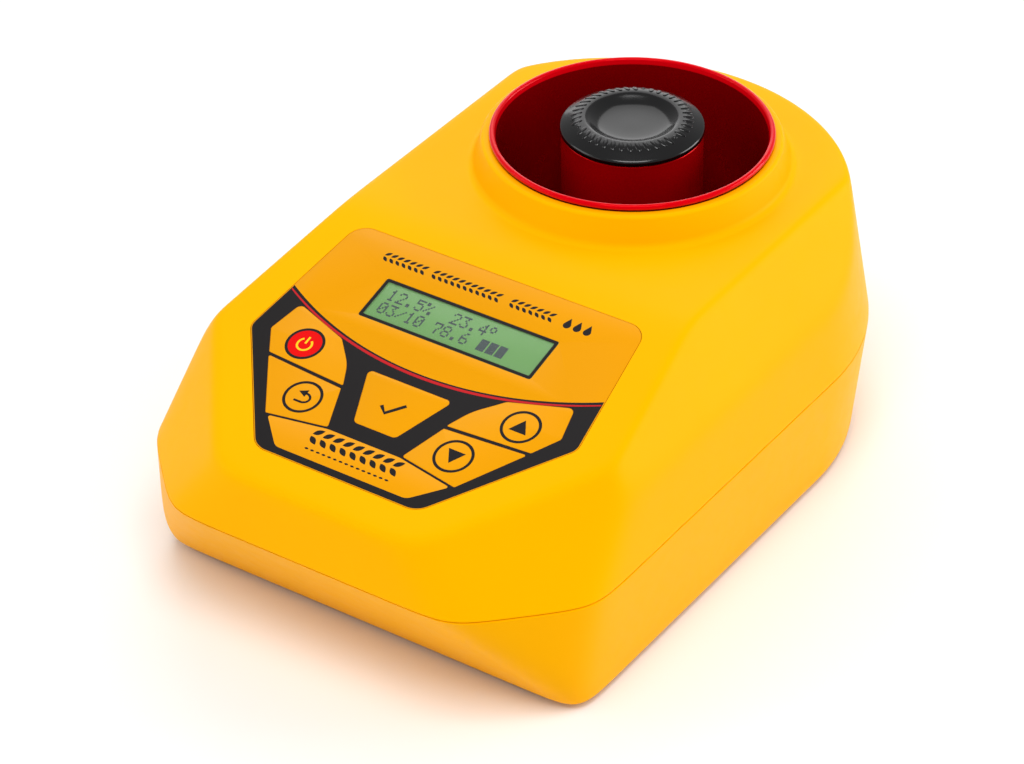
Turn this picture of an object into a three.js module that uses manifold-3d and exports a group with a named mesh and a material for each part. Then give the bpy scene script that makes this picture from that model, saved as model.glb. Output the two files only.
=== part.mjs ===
// Desktop grain moisture meter: a two-shell plastic housing with a tilted control panel in front and a
// round measuring cell behind it. A grain sample is poured into the ring-shaped space between the red cup
// and the red centre post, which are the two electrodes.
// Millimetres, +Z up, +X to the right of a user who faces the control panel, +Y to the back.
// The shapes are laid out around the axis of the cell, with Z = 0 on the underside of the housing. The
// finished group is then moved so that its origin is the middle of its footprint, on the table.

import * as THREE from 'three';
import { mergeVertices } from 'three/addons/utils/BufferGeometryUtils.js';
import Module from 'manifold-3d';

const wasm = await Module();
wasm.setup();

// ---------------------------------------------------------------- driving dimensions

const GAP = 0.3; // clearance between neighbouring pieces
const WALL = 2.6; // housing wall

// Housing outline at the parting line, and how each face leans above and below it.
const SPLIT_Z = 41.5;
const HALF_WIDTH = 86.5;
const FRONT_REACH = 187;
const CORNER_REACH = 170.5; // distance of the 45 degree corner faces from the cell axis
const SIDE_LEAN = Math.tan(THREE.MathUtils.degToRad(7.2));
const FRONT_LEAN = Math.tan(THREE.MathUtils.degToRad(10.4));
const CORNER_LEAN = Math.tan(THREE.MathUtils.degToRad(33.9));
const FOOTPRINT_HALF_WIDTH = 82.8;
const FOOTPRINT_FRONT = 157.8;
const REAR_CENTRE_Y = -10.5; // centre of the round back at the parting line
const REAR_LEAN = -0.057; // how that centre moves forward per millimetre of height
const REAR_LEAN_BASE = 0.034;
const CORNER_SOFTNESS = 2.94; // rounding of the upright corners
const EDGE_SOFTNESS = 0.8; // rounding of the upper edges
const UNDERSIDE_SOFTNESS = 0.69;

// Top, control panel and shoulder faces.
const PANEL_TILT = THREE.MathUtils.degToRad(14.7);
const PANEL_Y = -100;
const PANEL_Z = 84.57; // height of the panel plane at PANEL_Y
const BEND_Y = -70.1; // where the panel meets the level top
const TOP_TILT = THREE.MathUtils.degToRad(0.4);
const SHOULDER_RISE = THREE.MathUtils.degToRad(32.7);
const SHOULDER_REACH = 106.25;

// Measuring cell.
const CUP_LIP_R = 47.9;
const CUP_R = 46.6;
const CUP_BORE_R = 45.6;
const CUP_TOP_Z = 105.4;
const CUP_FLOOR_Z = 29.5;
const CUP_BASE_Z = 24.5;
const COLLAR_BORE_R = 47;
const COLLAR_TOP_Z = 103;
const COLLAR_TOP_R = 49.8;
// Outside of the collar, from its foot to its rim: a small fillet, a steep skirt and a rounded rim.
const COLLAR_SKIRT = [[56, 92.5], [54.7, 92.8], [53.6, 93.6], [53, 95], [50.9, 101.4], [50.5, 102.5]];
const COLLAR_ROOT_Z = 89; // the collar is joined to the cover below its top face
const POST_R = 23.9;
const POST_BORE_R = 21.9;
const POST_TOP_Z = 105.3;
const CAP_R = 24.3;
const CAP_SPIGOT_Z = 98;
// Outside of the cap, from its edge to its middle: a domed ring around a bowl.
const CAP_DOME = [[24.3, 106.7], [23.6, 107.7], [22, 108.6], [19.5, 109.6], [17.3, 110.3], [15.8, 110.4]];
const CAP_BOWL = [[14.4, 109.7], [12.4, 108.5], [8, 107.4], [0, 107]];
const CAP_BOSS_R = 7;
const CAP_BOSS_LOW_Z = 84;
const CAP_BOSS_BORE_Z = 101;
const BOLT_R = 2.5;
const BOLT_HEAD_R = 4.4;
const BOLT_LOW_Z = 18.2;
const BOLT_TOP_Z = 99.8;
const PROBE_SPOT = [25.5, 25.5];
const PROBE_R = 2;
const PEDESTAL_R = 28.7; // insulating pedestal under the post
const PILLAR_RING_R = 38;
const PILLAR_TOP_Z = 20.7;

// Control panel, measured on the panel plane: u to the right, v up the slope.
const OVERLAY_THICKNESS = 0.5;
const RECESS_DEPTH = 1.2;
const PLUNGER_R = 3;
const PLUNGER_LENGTH = 3.4;
const DOME_R = 4;
const DOME_TOP_W = -4.1;
const LCD_V = -3;
const LCD_VIEW = [64.5, 15.6];
const LCD_BEZEL = [71.3, 24.4];
const LCD_BOARD = [80, 36];
const LCD_SCREW_OFFSET = [37.3, 15.3];
const LCD_BOSS_R = 3;
const LCD_HOLE_R = 1.5;
const LCD_HOLE_TOP_W = -3.2;
const WINDOW_MARGIN = 1.2; // border of the window around the view
const WINDOW_LOW_W = -1.1;
const GLASS_TOP_W = -2;
const GLASS_LOW_W = -3.4;
const BEZEL_TOP_W = -1.6;
const BEZEL_LOW_W = -6.9;
const BOARD_THICKNESS = 1.6;

// Base, electronics and power.
const MAIN_BOARD_Z = 30;
const MAIN_BOARD = [96, 74];
const MAIN_BOARD_Y = -113;
const STANDOFF_OFFSET = [44, 33];
const BATTERY_Y = -112;
const CELL_R = 7.1;
const CELL_LENGTH = 50.5;
const CELL_PITCH = 15.2;
const CELL_Z = 12.6;
const HOLDER = [68, 58, 17];
const HOLDER_WALL = 1.5;
const DOOR = [66, 58, 1.8];
const DOOR_TRAVEL = 10;
const PAD_TOP_Z = 4.6; // thickened floor around the battery opening
const FOOT_R = 6.5;
const FOOT_HEIGHT = 3;
const FOOT_DROP = 1.8; // how far the feet reach below the underside
const BOARD_SCREW_HEAD = 1.8;
const FOOT_SPOTS = [[60, -148], [-60, -148], [50, 38], [-50, 38]];
const SCREW_SPOTS = [[66, -128], [-66, -128], [60, 27], [-60, 27]];

// Finish of each kind of piece.
const FINISH = {
  yellow: { color: 0xffb400, roughness: 0.38, metalness: 0 },
  film: { color: 0xfdb515, roughness: 0.45, metalness: 0 },
  red: { color: 0xd20a16, roughness: 0.3, metalness: 0 },
  keyRed: { color: 0xff1010, roughness: 0.45, metalness: 0 },
  black: { color: 0x0c0c0d, roughness: 0.15, metalness: 0 },
  insulator: { color: 0x1c1c1e, roughness: 0.6, metalness: 0 },
  rubber: { color: 0x17171a, roughness: 0.85, metalness: 0 },
  steel: { color: 0xb9bcc0, roughness: 0.35, metalness: 1 },
  contact: { color: 0xd7d2c3, roughness: 0.3, metalness: 1 },
  board: { color: 0x12613a, roughness: 0.55, metalness: 0 },
  chip: { color: 0x141416, roughness: 0.5, metalness: 0 },
  display: { color: 0x82ba76, roughness: 0.25, metalness: 0 },
  clear: { color: 0xf4f6f4, roughness: 0.08, metalness: 0 },
  bezel: { color: 0x161617, roughness: 0.5, metalness: 1 },
  cell: { color: 0x2f5f9a, roughness: 0.4, metalness: 0 },
  ribbon: { color: 0x9a9da3, roughness: 0.6, metalness: 0 },
};

// ---------------------------------------------------------------- solids and booleans

function toSolid(geometry) {
  const bare = geometry.clone();
  bare.deleteAttribute('normal');
  bare.deleteAttribute('uv');
  const merged = mergeVertices(bare, 1e-4);
  const triVerts = new Uint32Array(merged.index.array);
  const vertProperties = new Float32Array(merged.attributes.position.array);
  return new wasm.Manifold(new wasm.Mesh({ numProp: 3, vertProperties, triVerts }));
}

function toGeometry(solid) {
  const mesh = solid.getMesh();
  const geometry = new THREE.BufferGeometry();
  geometry.setAttribute('position', new THREE.BufferAttribute(new Float32Array(mesh.vertProperties), 3));
  geometry.setIndex(new THREE.BufferAttribute(new Uint32Array(mesh.triVerts), 1));
  geometry.computeVertexNormals();
  return geometry;
}

function join(...solids) {
  return solids.reduce((sum, solid) => sum.add(solid));
}

// A box from its lowest to its highest corner.
function boxGeometry(low, high) {
  const geometry = new THREE.BoxGeometry(high[0] - low[0], high[1] - low[1], high[2] - low[2]);
  geometry.translate((low[0] + high[0]) / 2, (low[1] + high[1]) / 2, (low[2] + high[2]) / 2);
  return geometry;
}

// An upright cylinder at (x, y) from one height to another.
function rodGeometry(x, y, lowZ, highZ, radius, sides = 20) {
  const geometry = new THREE.CylinderGeometry(radius, radius, highZ - lowZ, sides);
  geometry.rotateX(Math.PI / 2);
  geometry.translate(x, y, (lowZ + highZ) / 2);
  return geometry;
}

// A solid of revolution about +Z from [radius, height] points, which go upward on the outside.
function turnedGeometry(profile, sides) {
  const geometry = new THREE.LatheGeometry(profile.map(([r, z]) => new THREE.Vector2(r, z)), sides);
  geometry.rotateX(Math.PI / 2);
  return geometry;
}

const box = (low, high) => toSolid(boxGeometry(low, high));
const rod = (...args) => toSolid(rodGeometry(...args));

// ---------------------------------------------------------------- the housing envelope

// One flat face: the points inside it have normal . point <= reach. Normals are not unit vectors: those of
// the walls have a horizontal part of length 1, so that their reach is measured level.
const face = (x, y, z, reach) => ({ normal: new THREE.Vector3(x, y, z), reach });

// A wall with a given reach at the parting line, leaning inward by lean for each millimetre of height.
const wall = (x, y, splitReach, lean) => face(x, y, lean, splitReach + lean * SPLIT_Z);

// The flat that touches the rounding between two faces, nearer to the second for a larger share.
function blend(first, second, share, softness) {
  const rest = 1 - share;
  const setback = softness * (share * Math.log(share) + rest * Math.log(rest));
  return {
    normal: first.normal.clone().multiplyScalar(rest).addScaledVector(second.normal, share),
    reach: rest * first.reach + share * second.reach + setback,
  };
}

// The solid behind every one of a list of faces, each moved in by a wall.
function enclosed(faces, inset) {
  const half = 400;
  return faces
    .map(({ normal, reach }) => {
      const unit = normal.clone().normalize();
      const block = new THREE.BoxGeometry(2 * half, 2 * half, 2 * half);
      block.applyQuaternion(new THREE.Quaternion().setFromUnitVectors(new THREE.Vector3(0, 0, 1), unit));
      const offset = unit.multiplyScalar(reach / normal.length() - inset - half);
      return toSolid(block.translate(offset.x, offset.y, offset.z));
    })
    .reduce((solid, block) => solid.intersect(block));
}

// The side walls and the round back as facets, from the right round to the left.
const REAR_FACETS = 12;
function sidesAndBack(sideLean, rearLean) {
  const facets = [];
  for (let i = 0; i <= REAR_FACETS; i += 1) {
    const angle = (Math.PI * i) / REAR_FACETS;
    const back = Math.sin(angle);
    facets.push(wall(Math.cos(angle), back, HALF_WIDTH + back * REAR_CENTRE_Y, sideLean - back * rearLean));
  }
  return facets;
}

const bothSides = (makeFace) => [makeFace(1), makeFace(-1)];

function upperFaces(rounded) {
  const front = wall(0, -1, FRONT_REACH, FRONT_LEAN);
  const corners = bothSides((way) => wall(way * Math.SQRT1_2, -Math.SQRT1_2, CORNER_REACH, CORNER_LEAN));
  const facets = sidesAndBack(SIDE_LEAN, REAR_LEAN);
  const sides = [facets[0], facets[REAR_FACETS]];
  const panelUp = Math.cos(PANEL_TILT);
  const panelOut = Math.sin(PANEL_TILT);
  const panelFace = face(0, -panelOut, panelUp, PANEL_Z * panelUp - PANEL_Y * panelOut);
  const bendZ = PANEL_Z + Math.tan(PANEL_TILT) * (BEND_Y - PANEL_Y);
  const topUp = Math.cos(TOP_TILT);
  const topOut = Math.sin(TOP_TILT);
  const top = face(0, -topOut, topUp, bendZ * topUp - BEND_Y * topOut);
  const shoulders = bothSides((way) => {
    return face(way * Math.cos(SHOULDER_RISE), 0, Math.sin(SHOULDER_RISE), SHOULDER_REACH);
  });
  const faces = [front, ...corners, ...facets, panelFace, top, ...shoulders];
  if (!rounded) return faces;
  faces.push(blend(panelFace, top, 0.5, EDGE_SOFTNESS));
  faces.push(...facets.slice(1, -1).map((facet) => blend(top, facet, 0.5, EDGE_SOFTNESS)));
  [0.2, 0.5, 0.8].forEach((share) => {
    faces.push(blend(panelFace, front, share, EDGE_SOFTNESS));
    [0, 1].forEach((i) => {
      faces.push(blend(front, corners[i], share, CORNER_SOFTNESS));
      faces.push(blend(corners[i], sides[i], share, CORNER_SOFTNESS));
      faces.push(blend(panelFace, corners[i], share, EDGE_SOFTNESS));
      faces.push(blend(panelFace, shoulders[i], share, EDGE_SOFTNESS));
      faces.push(blend(top, shoulders[i], share, EDGE_SOFTNESS));
    });
  });
  [0, 1].forEach((i) => {
    faces.push(blend(shoulders[i], corners[i], 0.5, EDGE_SOFTNESS));
    faces.push(blend(shoulders[i], sides[i], 0.35, EDGE_SOFTNESS));
    faces.push(blend(shoulders[i], sides[i], 0.65, EDGE_SOFTNESS));
    faces.push(blend(shoulders[i], facets[i ? REAR_FACETS - 1 : 1], 0.5, EDGE_SOFTNESS));
    faces.push(blend(shoulders[i], facets[i ? REAR_FACETS - 2 : 2], 0.5, EDGE_SOFTNESS));
  });
  return faces;
}

function lowerFaces(rounded) {
  const frontLean = (FOOTPRINT_FRONT - FRONT_REACH) / SPLIT_Z;
  const sideLean = (FOOTPRINT_HALF_WIDTH - HALF_WIDTH) / SPLIT_Z;
  const front = wall(0, -1, FRONT_REACH, frontLean);
  const corners = bothSides((way) => wall(way * Math.SQRT1_2, -Math.SQRT1_2, CORNER_REACH, 0));
  const facets = sidesAndBack(sideLean, REAR_LEAN_BASE);
  const sides = [facets[0], facets[REAR_FACETS]];
  const underside = face(0, 0, -1, 0);
  const faces = [front, ...corners, ...facets, underside];
  if (!rounded) return faces;
  faces.push(...[front, ...facets].map((facet) => blend(underside, facet, 0.5, UNDERSIDE_SOFTNESS)));
  [0.2, 0.5, 0.8].forEach((share) => {
    [0, 1].forEach((i) => {
      faces.push(blend(front, corners[i], share, CORNER_SOFTNESS));
      faces.push(blend(corners[i], sides[i], share, CORNER_SOFTNESS));
    });
  });
  return faces;
}

// ---------------------------------------------------------------- control panel outlines

// A closed outline whose corners are rounded: each corner is [u, v, radius].
function roundedShape(corners) {
  const shape = new THREE.Shape();
  const points = corners.map(([u, v]) => new THREE.Vector2(u, v));
  corners.forEach(([, , radius], i) => {
    const point = points[i];
    const before = points[(i + points.length - 1) % points.length].clone().sub(point).normalize();
    const after = points[(i + 1) % points.length].clone().sub(point).normalize();
    const setback = radius / Math.tan(before.angleTo(after) / 2);
    const start = before.multiplyScalar(setback).add(point);
    const end = after.multiplyScalar(setback).add(point);
    if (i === 0) shape.moveTo(start.x, start.y);
    else shape.lineTo(start.x, start.y);
    if (radius > 0) shape.quadraticCurveTo(point.x, point.y, end.x, end.y);
  });
  shape.closePath();
  return shape;
}

const mirrored = (corners) => corners.map(([u, v, r]) => [-u, v, r]).reverse();

// Overlay film: wide at the key rows, tapering to the front.
const OVERLAY_RIGHT = [[31.1, -73.1, 8], [63.2, -30.5, 5], [56.1, 22.3, 7]];
const OVERLAY = [...OVERLAY_RIGHT, ...mirrored(OVERLAY_RIGHT)];

// Key fields on the right of the panel; the left ones mirror them.
const UPPER_FIELD = [
  [20, -39.6, 0.4], [50.6, -37.7, 0.8], [56.2, -28.8, 1.5],
  [53.2, -16, 2], [32, -22.9, 3], [24, -31.3, 20],
];
const LOWER_FIELD = [[14.3, -56.3, 0.8], [36.4, -59.8, 0.6], [50, -38.9, 0.5], [19.9, -40.9, 0.4]];
const OK_FIELD = [[8, -51, 2], [16.4, -30.3, 1.5], [-16.4, -30.3, 1.5], [-8, -51, 2]];

const KEYS = [
  { name: 'power', field: mirrored(UPPER_FIELD), centre: [-41.8, -29.9] },
  { name: 'cancel', field: mirrored(LOWER_FIELD), centre: [-29.1, -49.2] },
  { name: 'ok', field: OK_FIELD, centre: [0, -40] },
  { name: 'up', field: UPPER_FIELD, centre: [41.8, -29.9] },
  { name: 'down', field: LOWER_FIELD, centre: [29.1, -49.2] },
];

// The corners of an outline moved outward, or inward where the amount is negative.
function grown(corners, amount) {
  return corners.map(([u, v, radius], i) => {
    const before = corners[(i + corners.length - 1) % corners.length];
    const after = corners[(i + 1) % corners.length];
    const into = new THREE.Vector2(u - before[0], v - before[1]).normalize();
    const out = new THREE.Vector2(after[0] - u, after[1] - v).normalize();
    const bisector = new THREE.Vector2(into.y + out.y, -into.x - out.x).normalize();
    const stretch = amount / Math.max(0.3, bisector.dot(new THREE.Vector2(into.y, -into.x)));
    return [u + bisector.x * stretch, v + bisector.y * stretch, Math.max(0, radius + amount)];
  });
}

// A slab with a panel outline, between two heights over the panel plane.
function slab(corners, lowW, highW) {
  const geometry = new THREE.ExtrudeGeometry(roundedShape(corners), {
    depth: highW - lowW,
    bevelEnabled: false,
    curveSegments: 3,
  });
  geometry.translate(0, 0, lowW);
  return geometry;
}

const rectangle = ([width, height], v = 0, radius = 0) => [
  [width / 2, v - height / 2, radius],
  [width / 2, v + height / 2, radius],
  [-width / 2, v + height / 2, radius],
  [-width / 2, v - height / 2, radius],
];

const panelMatrix = new THREE.Matrix4().makeRotationX(PANEL_TILT).setPosition(0, PANEL_Y, PANEL_Z);
const onPanel = (geometry) => toSolid(geometry.applyMatrix4(panelMatrix));
const lcdCorners = [1, -1].flatMap((u) => [1, -1].map((v) => [
  u * LCD_SCREW_OFFSET[0],
  LCD_V + v * LCD_SCREW_OFFSET[1],
]));

// ---------------------------------------------------------------- housing shells

const SPLIT_GAP = 0.3;
const atLeast = (z) => face(0, 0, -1, -z);
const atMost = (z) => face(0, 0, 1, z);
const BOSS_R = 4.8;
const SCREW_HOLE_R = 2;
const COUNTERBORE_R = 4.2;
const COUNTERBORE_Z = 5;
const SCREW_DEPTH = 18; // depth of the screw holes in the cover's bosses
const SCREW_LOW_Z = 2.3; // underside of the screw heads
const DOOR_RECESS_TOP_Z = 2.3;
const STANDOFF_R = 3.5;
const STANDOFF_HOLE_R = 1.4;
const ABOVE = 150; // clear of everything

function collarProfile() {
  const innerR = COLLAR_BORE_R - 5;
  const outside = [[COLLAR_SKIRT[0][0], COLLAR_ROOT_Z], ...COLLAR_SKIRT, [COLLAR_TOP_R, COLLAR_TOP_Z]];
  return [[innerR, COLLAR_ROOT_Z], ...outside, [innerR, COLLAR_TOP_Z], [innerR, COLLAR_ROOT_Z]];
}

function makeTopCover() {
  const bosses = SCREW_SPOTS.map(([x, y]) => rod(x, y, SPLIT_Z + 1, ABOVE, BOSS_R, 12));
  const lcdBosses = lcdCorners.map(([u, v]) => {
    return onPanel(rodGeometry(u, v, BEZEL_LOW_W, BEZEL_TOP_W, LCD_BOSS_R, 12));
  });
  const bossLimit = enclosed(upperFaces(false), WALL / 2);
  const displayHole = rectangle(LCD_BEZEL.map((side) => side + 0.8), LCD_V);
  let cover = enclosed([...upperFaces(true), atLeast(SPLIT_Z + SPLIT_GAP / 2)], 0);
  cover = cover.add(toSolid(turnedGeometry(collarProfile(), 48))).subtract(enclosed(upperFaces(false), WALL));
  cover = join(cover, ...bosses.map((boss) => boss.intersect(bossLimit)), ...lcdBosses);
  cover = cover.subtract(rod(0, 0, 0, ABOVE, COLLAR_BORE_R, 48));
  cover = cover.subtract(onPanel(slab(grown(OVERLAY, GAP), -RECESS_DEPTH, 5)));
  cover = cover.subtract(onPanel(slab(displayHole, BEZEL_LOW_W + 1.9, 1)));
  KEYS.forEach(({ centre: [u, v] }) => {
    cover = cover.subtract(onPanel(rodGeometry(u, v, -8, 1, PLUNGER_R + 2 * GAP, 12)));
  });
  SCREW_SPOTS.forEach(([x, y]) => {
    cover = cover.subtract(rod(x, y, SPLIT_Z, SPLIT_Z + SCREW_DEPTH, SCREW_HOLE_R, 8));
  });
  lcdCorners.forEach(([u, v]) => {
    cover = cover.subtract(onPanel(rodGeometry(u, v, -8, LCD_HOLE_TOP_W, LCD_HOLE_R, 8)));
  });
  return cover;
}

const pillarSpots = [90, 210, 330].map((degrees) => {
  const angle = THREE.MathUtils.degToRad(degrees);
  return [PILLAR_RING_R * Math.cos(angle), PILLAR_RING_R * Math.sin(angle)];
});
const standoffSpots = [1, -1].flatMap((x) => [1, -1].map((y) => [
  x * STANDOFF_OFFSET[0],
  MAIN_BOARD_Y + y * STANDOFF_OFFSET[1],
]));

function makeBase() {
  const [holderX, holderY] = HOLDER;
  const doorLow = [-DOOR[0] / 2 - GAP, BATTERY_Y - DOOR[1] / 2 - GAP, -5];
  const doorHigh = [DOOR[0] / 2 + GAP, BATTERY_Y + DOOR[1] / 2 + DOOR_TRAVEL + GAP, DOOR_RECESS_TOP_Z];
  const padLow = [-holderX / 2 - 1, BATTERY_Y - holderY / 2 - 2, 0.5];
  const padHigh = [holderX / 2 + 1, BATTERY_Y + holderY / 2 + DOOR_TRAVEL + 3, PAD_TOP_Z];
  const openingLow = [-holderX / 2 + 3, BATTERY_Y - holderY / 2 + 2, -1];
  const openingHigh = [holderX / 2 - 3, BATTERY_Y + holderY / 2 - 2, 10];
  let base = enclosed([...lowerFaces(true), atMost(SPLIT_Z - SPLIT_GAP / 2)], 0);
  base = base.subtract(enclosed([...lowerFaces(false), atMost(2 * SPLIT_Z)], WALL));
  base = join(
    base,
    box(padLow, padHigh),
    ...SCREW_SPOTS.map(([x, y]) => rod(x, y, 1, SPLIT_Z - 1.2, BOSS_R, 12)),
    ...pillarSpots.map(([x, y]) => rod(x, y, 1, PILLAR_TOP_Z, BOSS_R, 12)),
    ...standoffSpots.map(([x, y]) => rod(x, y, 1, MAIN_BOARD_Z - GAP, STANDOFF_R, 12)),
  );
  base = base.subtract(box(doorLow, doorHigh)).subtract(box(openingLow, openingHigh));
  [...SCREW_SPOTS, ...pillarSpots].forEach(([x, y]) => {
    base = base.subtract(rod(x, y, -1, COUNTERBORE_Z, COUNTERBORE_R, 12));
    base = base.subtract(rod(x, y, -1, SPLIT_Z, SCREW_HOLE_R, 8));
  });
  standoffSpots.forEach(([x, y]) => {
    base = base.subtract(rod(x, y, MAIN_BOARD_Z - 10, SPLIT_Z, STANDOFF_HOLE_R, 8));
  });
  FOOT_SPOTS.forEach(([x, y]) => {
    base = base.subtract(rod(x, y, -1, FOOT_HEIGHT - FOOT_DROP + GAP, FOOT_R + GAP + 0.1, 16));
  });
  return base;
}

// ---------------------------------------------------------------- scene graph

const meter = new THREE.Group();
const panel = new THREE.Group();
panel.rotation.x = PANEL_TILT;
panel.position.set(0, PANEL_Y, PANEL_Z);
meter.add(panel);

function addPiece(name, geometry, finish, parent = meter, place = [0, 0, 0]) {
  const mesh = new THREE.Mesh(geometry, new THREE.MeshStandardMaterial(FINISH[finish]));
  mesh.name = name;
  mesh.position.set(...place);
  parent.add(mesh);
  return mesh;
}

addPiece('top_cover', toGeometry(makeTopCover()), 'yellow');
addPiece('base', toGeometry(makeBase()), 'yellow');

// ---- overlay film and keys

function makeOverlay() {
  const opening = LCD_VIEW.map((side) => side + 2 * (WINDOW_MARGIN + GAP));
  let film = toSolid(slab(OVERLAY, -OVERLAY_THICKNESS, 0));
  film = film.subtract(toSolid(slab(rectangle(opening, LCD_V, 1), -2, 2)));
  KEYS.forEach(({ field }) => {
    film = film.subtract(toSolid(slab(grown(field, GAP / 2), -2, 2)));
  });
  return film;
}

addPiece('panel_overlay', toGeometry(makeOverlay()), 'film', panel);

KEYS.forEach(({ name, field, centre: [u, v] }) => {
  const pad = toSolid(slab(grown(field, -GAP / 2), -OVERLAY_THICKNESS, 0));
  const plunger = rod(u, v, -PLUNGER_LENGTH, -OVERLAY_THICKNESS / 2, PLUNGER_R, 12);
  addPiece(`${name}_key`, toGeometry(pad.add(plunger)), name === 'power' ? 'keyRed' : 'film', panel);
  const domeProfile = [[0, -0.5], [DOME_R, -0.5], [DOME_R, -0.35], [DOME_R / 2, -0.1], [0, 0]];
  addPiece(`${name}_dome`, turnedGeometry(domeProfile, 12), 'steel', panel, [u, v, DOME_TOP_W]);
});

const switchBoardTopW = DOME_TOP_W - 0.5 - GAP;
const SWITCH_BOARD_RIGHT = [[33, -61, 2], [54, -34, 2], [52, -22.3, 2]];
const switchBoardOutline = [...SWITCH_BOARD_RIGHT, ...mirrored(SWITCH_BOARD_RIGHT)];
const switchBoard = slab(switchBoardOutline, switchBoardTopW - BOARD_THICKNESS, switchBoardTopW);
addPiece('switch_board', switchBoard, 'board', panel);

// ---- display module

const windowSize = LCD_VIEW.map((side) => side + 2 * WINDOW_MARGIN);
addPiece('lcd_window', slab(rectangle(windowSize, LCD_V, 0.8), WINDOW_LOW_W, 0), 'clear', panel);
addPiece('lcd_glass', slab(rectangle(LCD_VIEW, LCD_V), GLASS_LOW_W, GLASS_TOP_W), 'display', panel);

const bezelOuter = toSolid(slab(rectangle(LCD_BEZEL, LCD_V, 1), BEZEL_LOW_W, BEZEL_TOP_W));
const bezelHole = toSolid(slab(rectangle(LCD_VIEW.map((side) => side + 2 * GAP), LCD_V), -10, 0));
addPiece('lcd_bezel', toGeometry(bezelOuter.subtract(bezelHole)), 'bezel', panel);

const lcdBoardTopW = BEZEL_LOW_W - GAP;
function drilledBoard(corners, lowZ, highZ, holes, holeR) {
  let board = toSolid(slab(corners, lowZ, highZ));
  holes.forEach(([u, v]) => {
    board = board.subtract(rod(u, v, lowZ - 1, highZ + 1, holeR, 10));
  });
  return toGeometry(board);
}
const lcdBoardOutline = rectangle(LCD_BOARD, LCD_V, 1);
const lcdBoardLowW = lcdBoardTopW - BOARD_THICKNESS;
const lcdBoard = drilledBoard(lcdBoardOutline, lcdBoardLowW, lcdBoardTopW, lcdCorners, LCD_HOLE_R);
addPiece('lcd_board', lcdBoard, 'board', panel);

// A pan-head screw: its head is at the start, and its shank runs along +Z.
function screwGeometry(headR, headHeight, shankR, length) {
  const profile = [[0, 0], [headR * 0.8, 0], [headR, headHeight * 0.4], [headR, headHeight]];
  profile.push([shankR, headHeight], [shankR, headHeight + length - shankR], [0, headHeight + length]);
  return turnedGeometry(profile, 8);
}

lcdCorners.forEach(([u, v], i) => {
  const screw = screwGeometry(2.3, 1.6, 1.1, 5);
  addPiece(`lcd_screw_${i + 1}`, screw, 'steel', panel, [u, v, lcdBoardLowW - GAP - 1.6]);
});

// ---- main board and what it carries

const mainBoardOutline = rectangle(MAIN_BOARD, MAIN_BOARD_Y, 2);
const mainBoard = drilledBoard(mainBoardOutline, 0, BOARD_THICKNESS, standoffSpots, 1.6);
addPiece('main_board', mainBoard, 'board', meter, [0, 0, MAIN_BOARD_Z]);
const boardTopZ = MAIN_BOARD_Z + BOARD_THICKNESS + GAP;
standoffSpots.forEach(([x, y], i) => {
  const screw = screwGeometry(2.6, BOARD_SCREW_HEAD, 1.1, 7).rotateX(Math.PI);
  addPiece(`board_screw_${i + 1}`, screw, 'steel', meter, [x, y, boardTopZ + BOARD_SCREW_HEAD]);
});
addPiece('processor', boxGeometry([-7, -7, 0], [7, 7, 1.4]), 'chip', meter, [-14, -104, boardTopZ]);
const buzzerProfile = [[0, 0], [6, 0], [6, 7.5], [5.4, 8], [1.2, 8], [1.2, 6], [0, 6]];
addPiece('buzzer', turnedGeometry(buzzerProfile, 20), 'chip', meter, [-34, -124, boardTopZ]);

// A flat cable that drops from the back of a board on the panel to the main board.
function ribbonGeometry(x, start, end, width) {
  const half = 0.35;
  const drop = 17;
  const section = new THREE.Shape([
    new THREE.Vector2(-half, -width / 2),
    new THREE.Vector2(half, -width / 2),
    new THREE.Vector2(half, width / 2),
    new THREE.Vector2(-half, width / 2),
  ]);
  const path = new THREE.CubicBezierCurve3(
    new THREE.Vector3(x, start[0], start[1]),
    new THREE.Vector3(x, start[0] + drop * Math.sin(PANEL_TILT), start[1] - drop * Math.cos(PANEL_TILT)),
    new THREE.Vector3(x, end[0], end[1] + drop),
    new THREE.Vector3(x, end[0], end[1]),
  );
  return new THREE.ExtrudeGeometry(section, { steps: 10, bevelEnabled: false, extrudePath: path });
}
addPiece('lcd_ribbon', ribbonGeometry(20, [-96, 73.5], [-88, boardTopZ], 18), 'ribbon');
addPiece('switch_ribbon', ribbonGeometry(-22, [-131, 69], [-142, boardTopZ], 12), 'ribbon');

// ---- measuring cell

function makeCup() {
  const lipR = (CUP_LIP_R + CUP_BORE_R) / 2;
  const lipZ = CUP_TOP_Z - 1;
  const innerR = PEDESTAL_R + GAP;
  const profile = [[innerR, CUP_BASE_Z], [CUP_R, CUP_BASE_Z], [CUP_R, lipZ - 0.8]];
  profile.push([CUP_LIP_R - 0.3, lipZ - 0.8], [CUP_LIP_R, lipZ], [CUP_LIP_R - 0.3, lipZ + 0.7]);
  profile.push([lipR, CUP_TOP_Z], [CUP_BORE_R + 0.3, lipZ + 0.7], [CUP_BORE_R, lipZ]);
  profile.push([CUP_BORE_R, CUP_FLOOR_Z + 1.5], [CUP_BORE_R - 1.5, CUP_FLOOR_Z]);
  profile.push([innerR, CUP_FLOOR_Z], [innerR, CUP_BASE_Z]);
  let cup = toSolid(turnedGeometry(profile, 44));
  pillarSpots.forEach(([x, y]) => {
    cup = cup.subtract(rod(x, y, 20, CUP_FLOOR_Z - 1.5, SCREW_HOLE_R, 8));
  });
  return cup.subtract(rod(...PROBE_SPOT, 20, 40, PROBE_R + GAP, 12));
}

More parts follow.
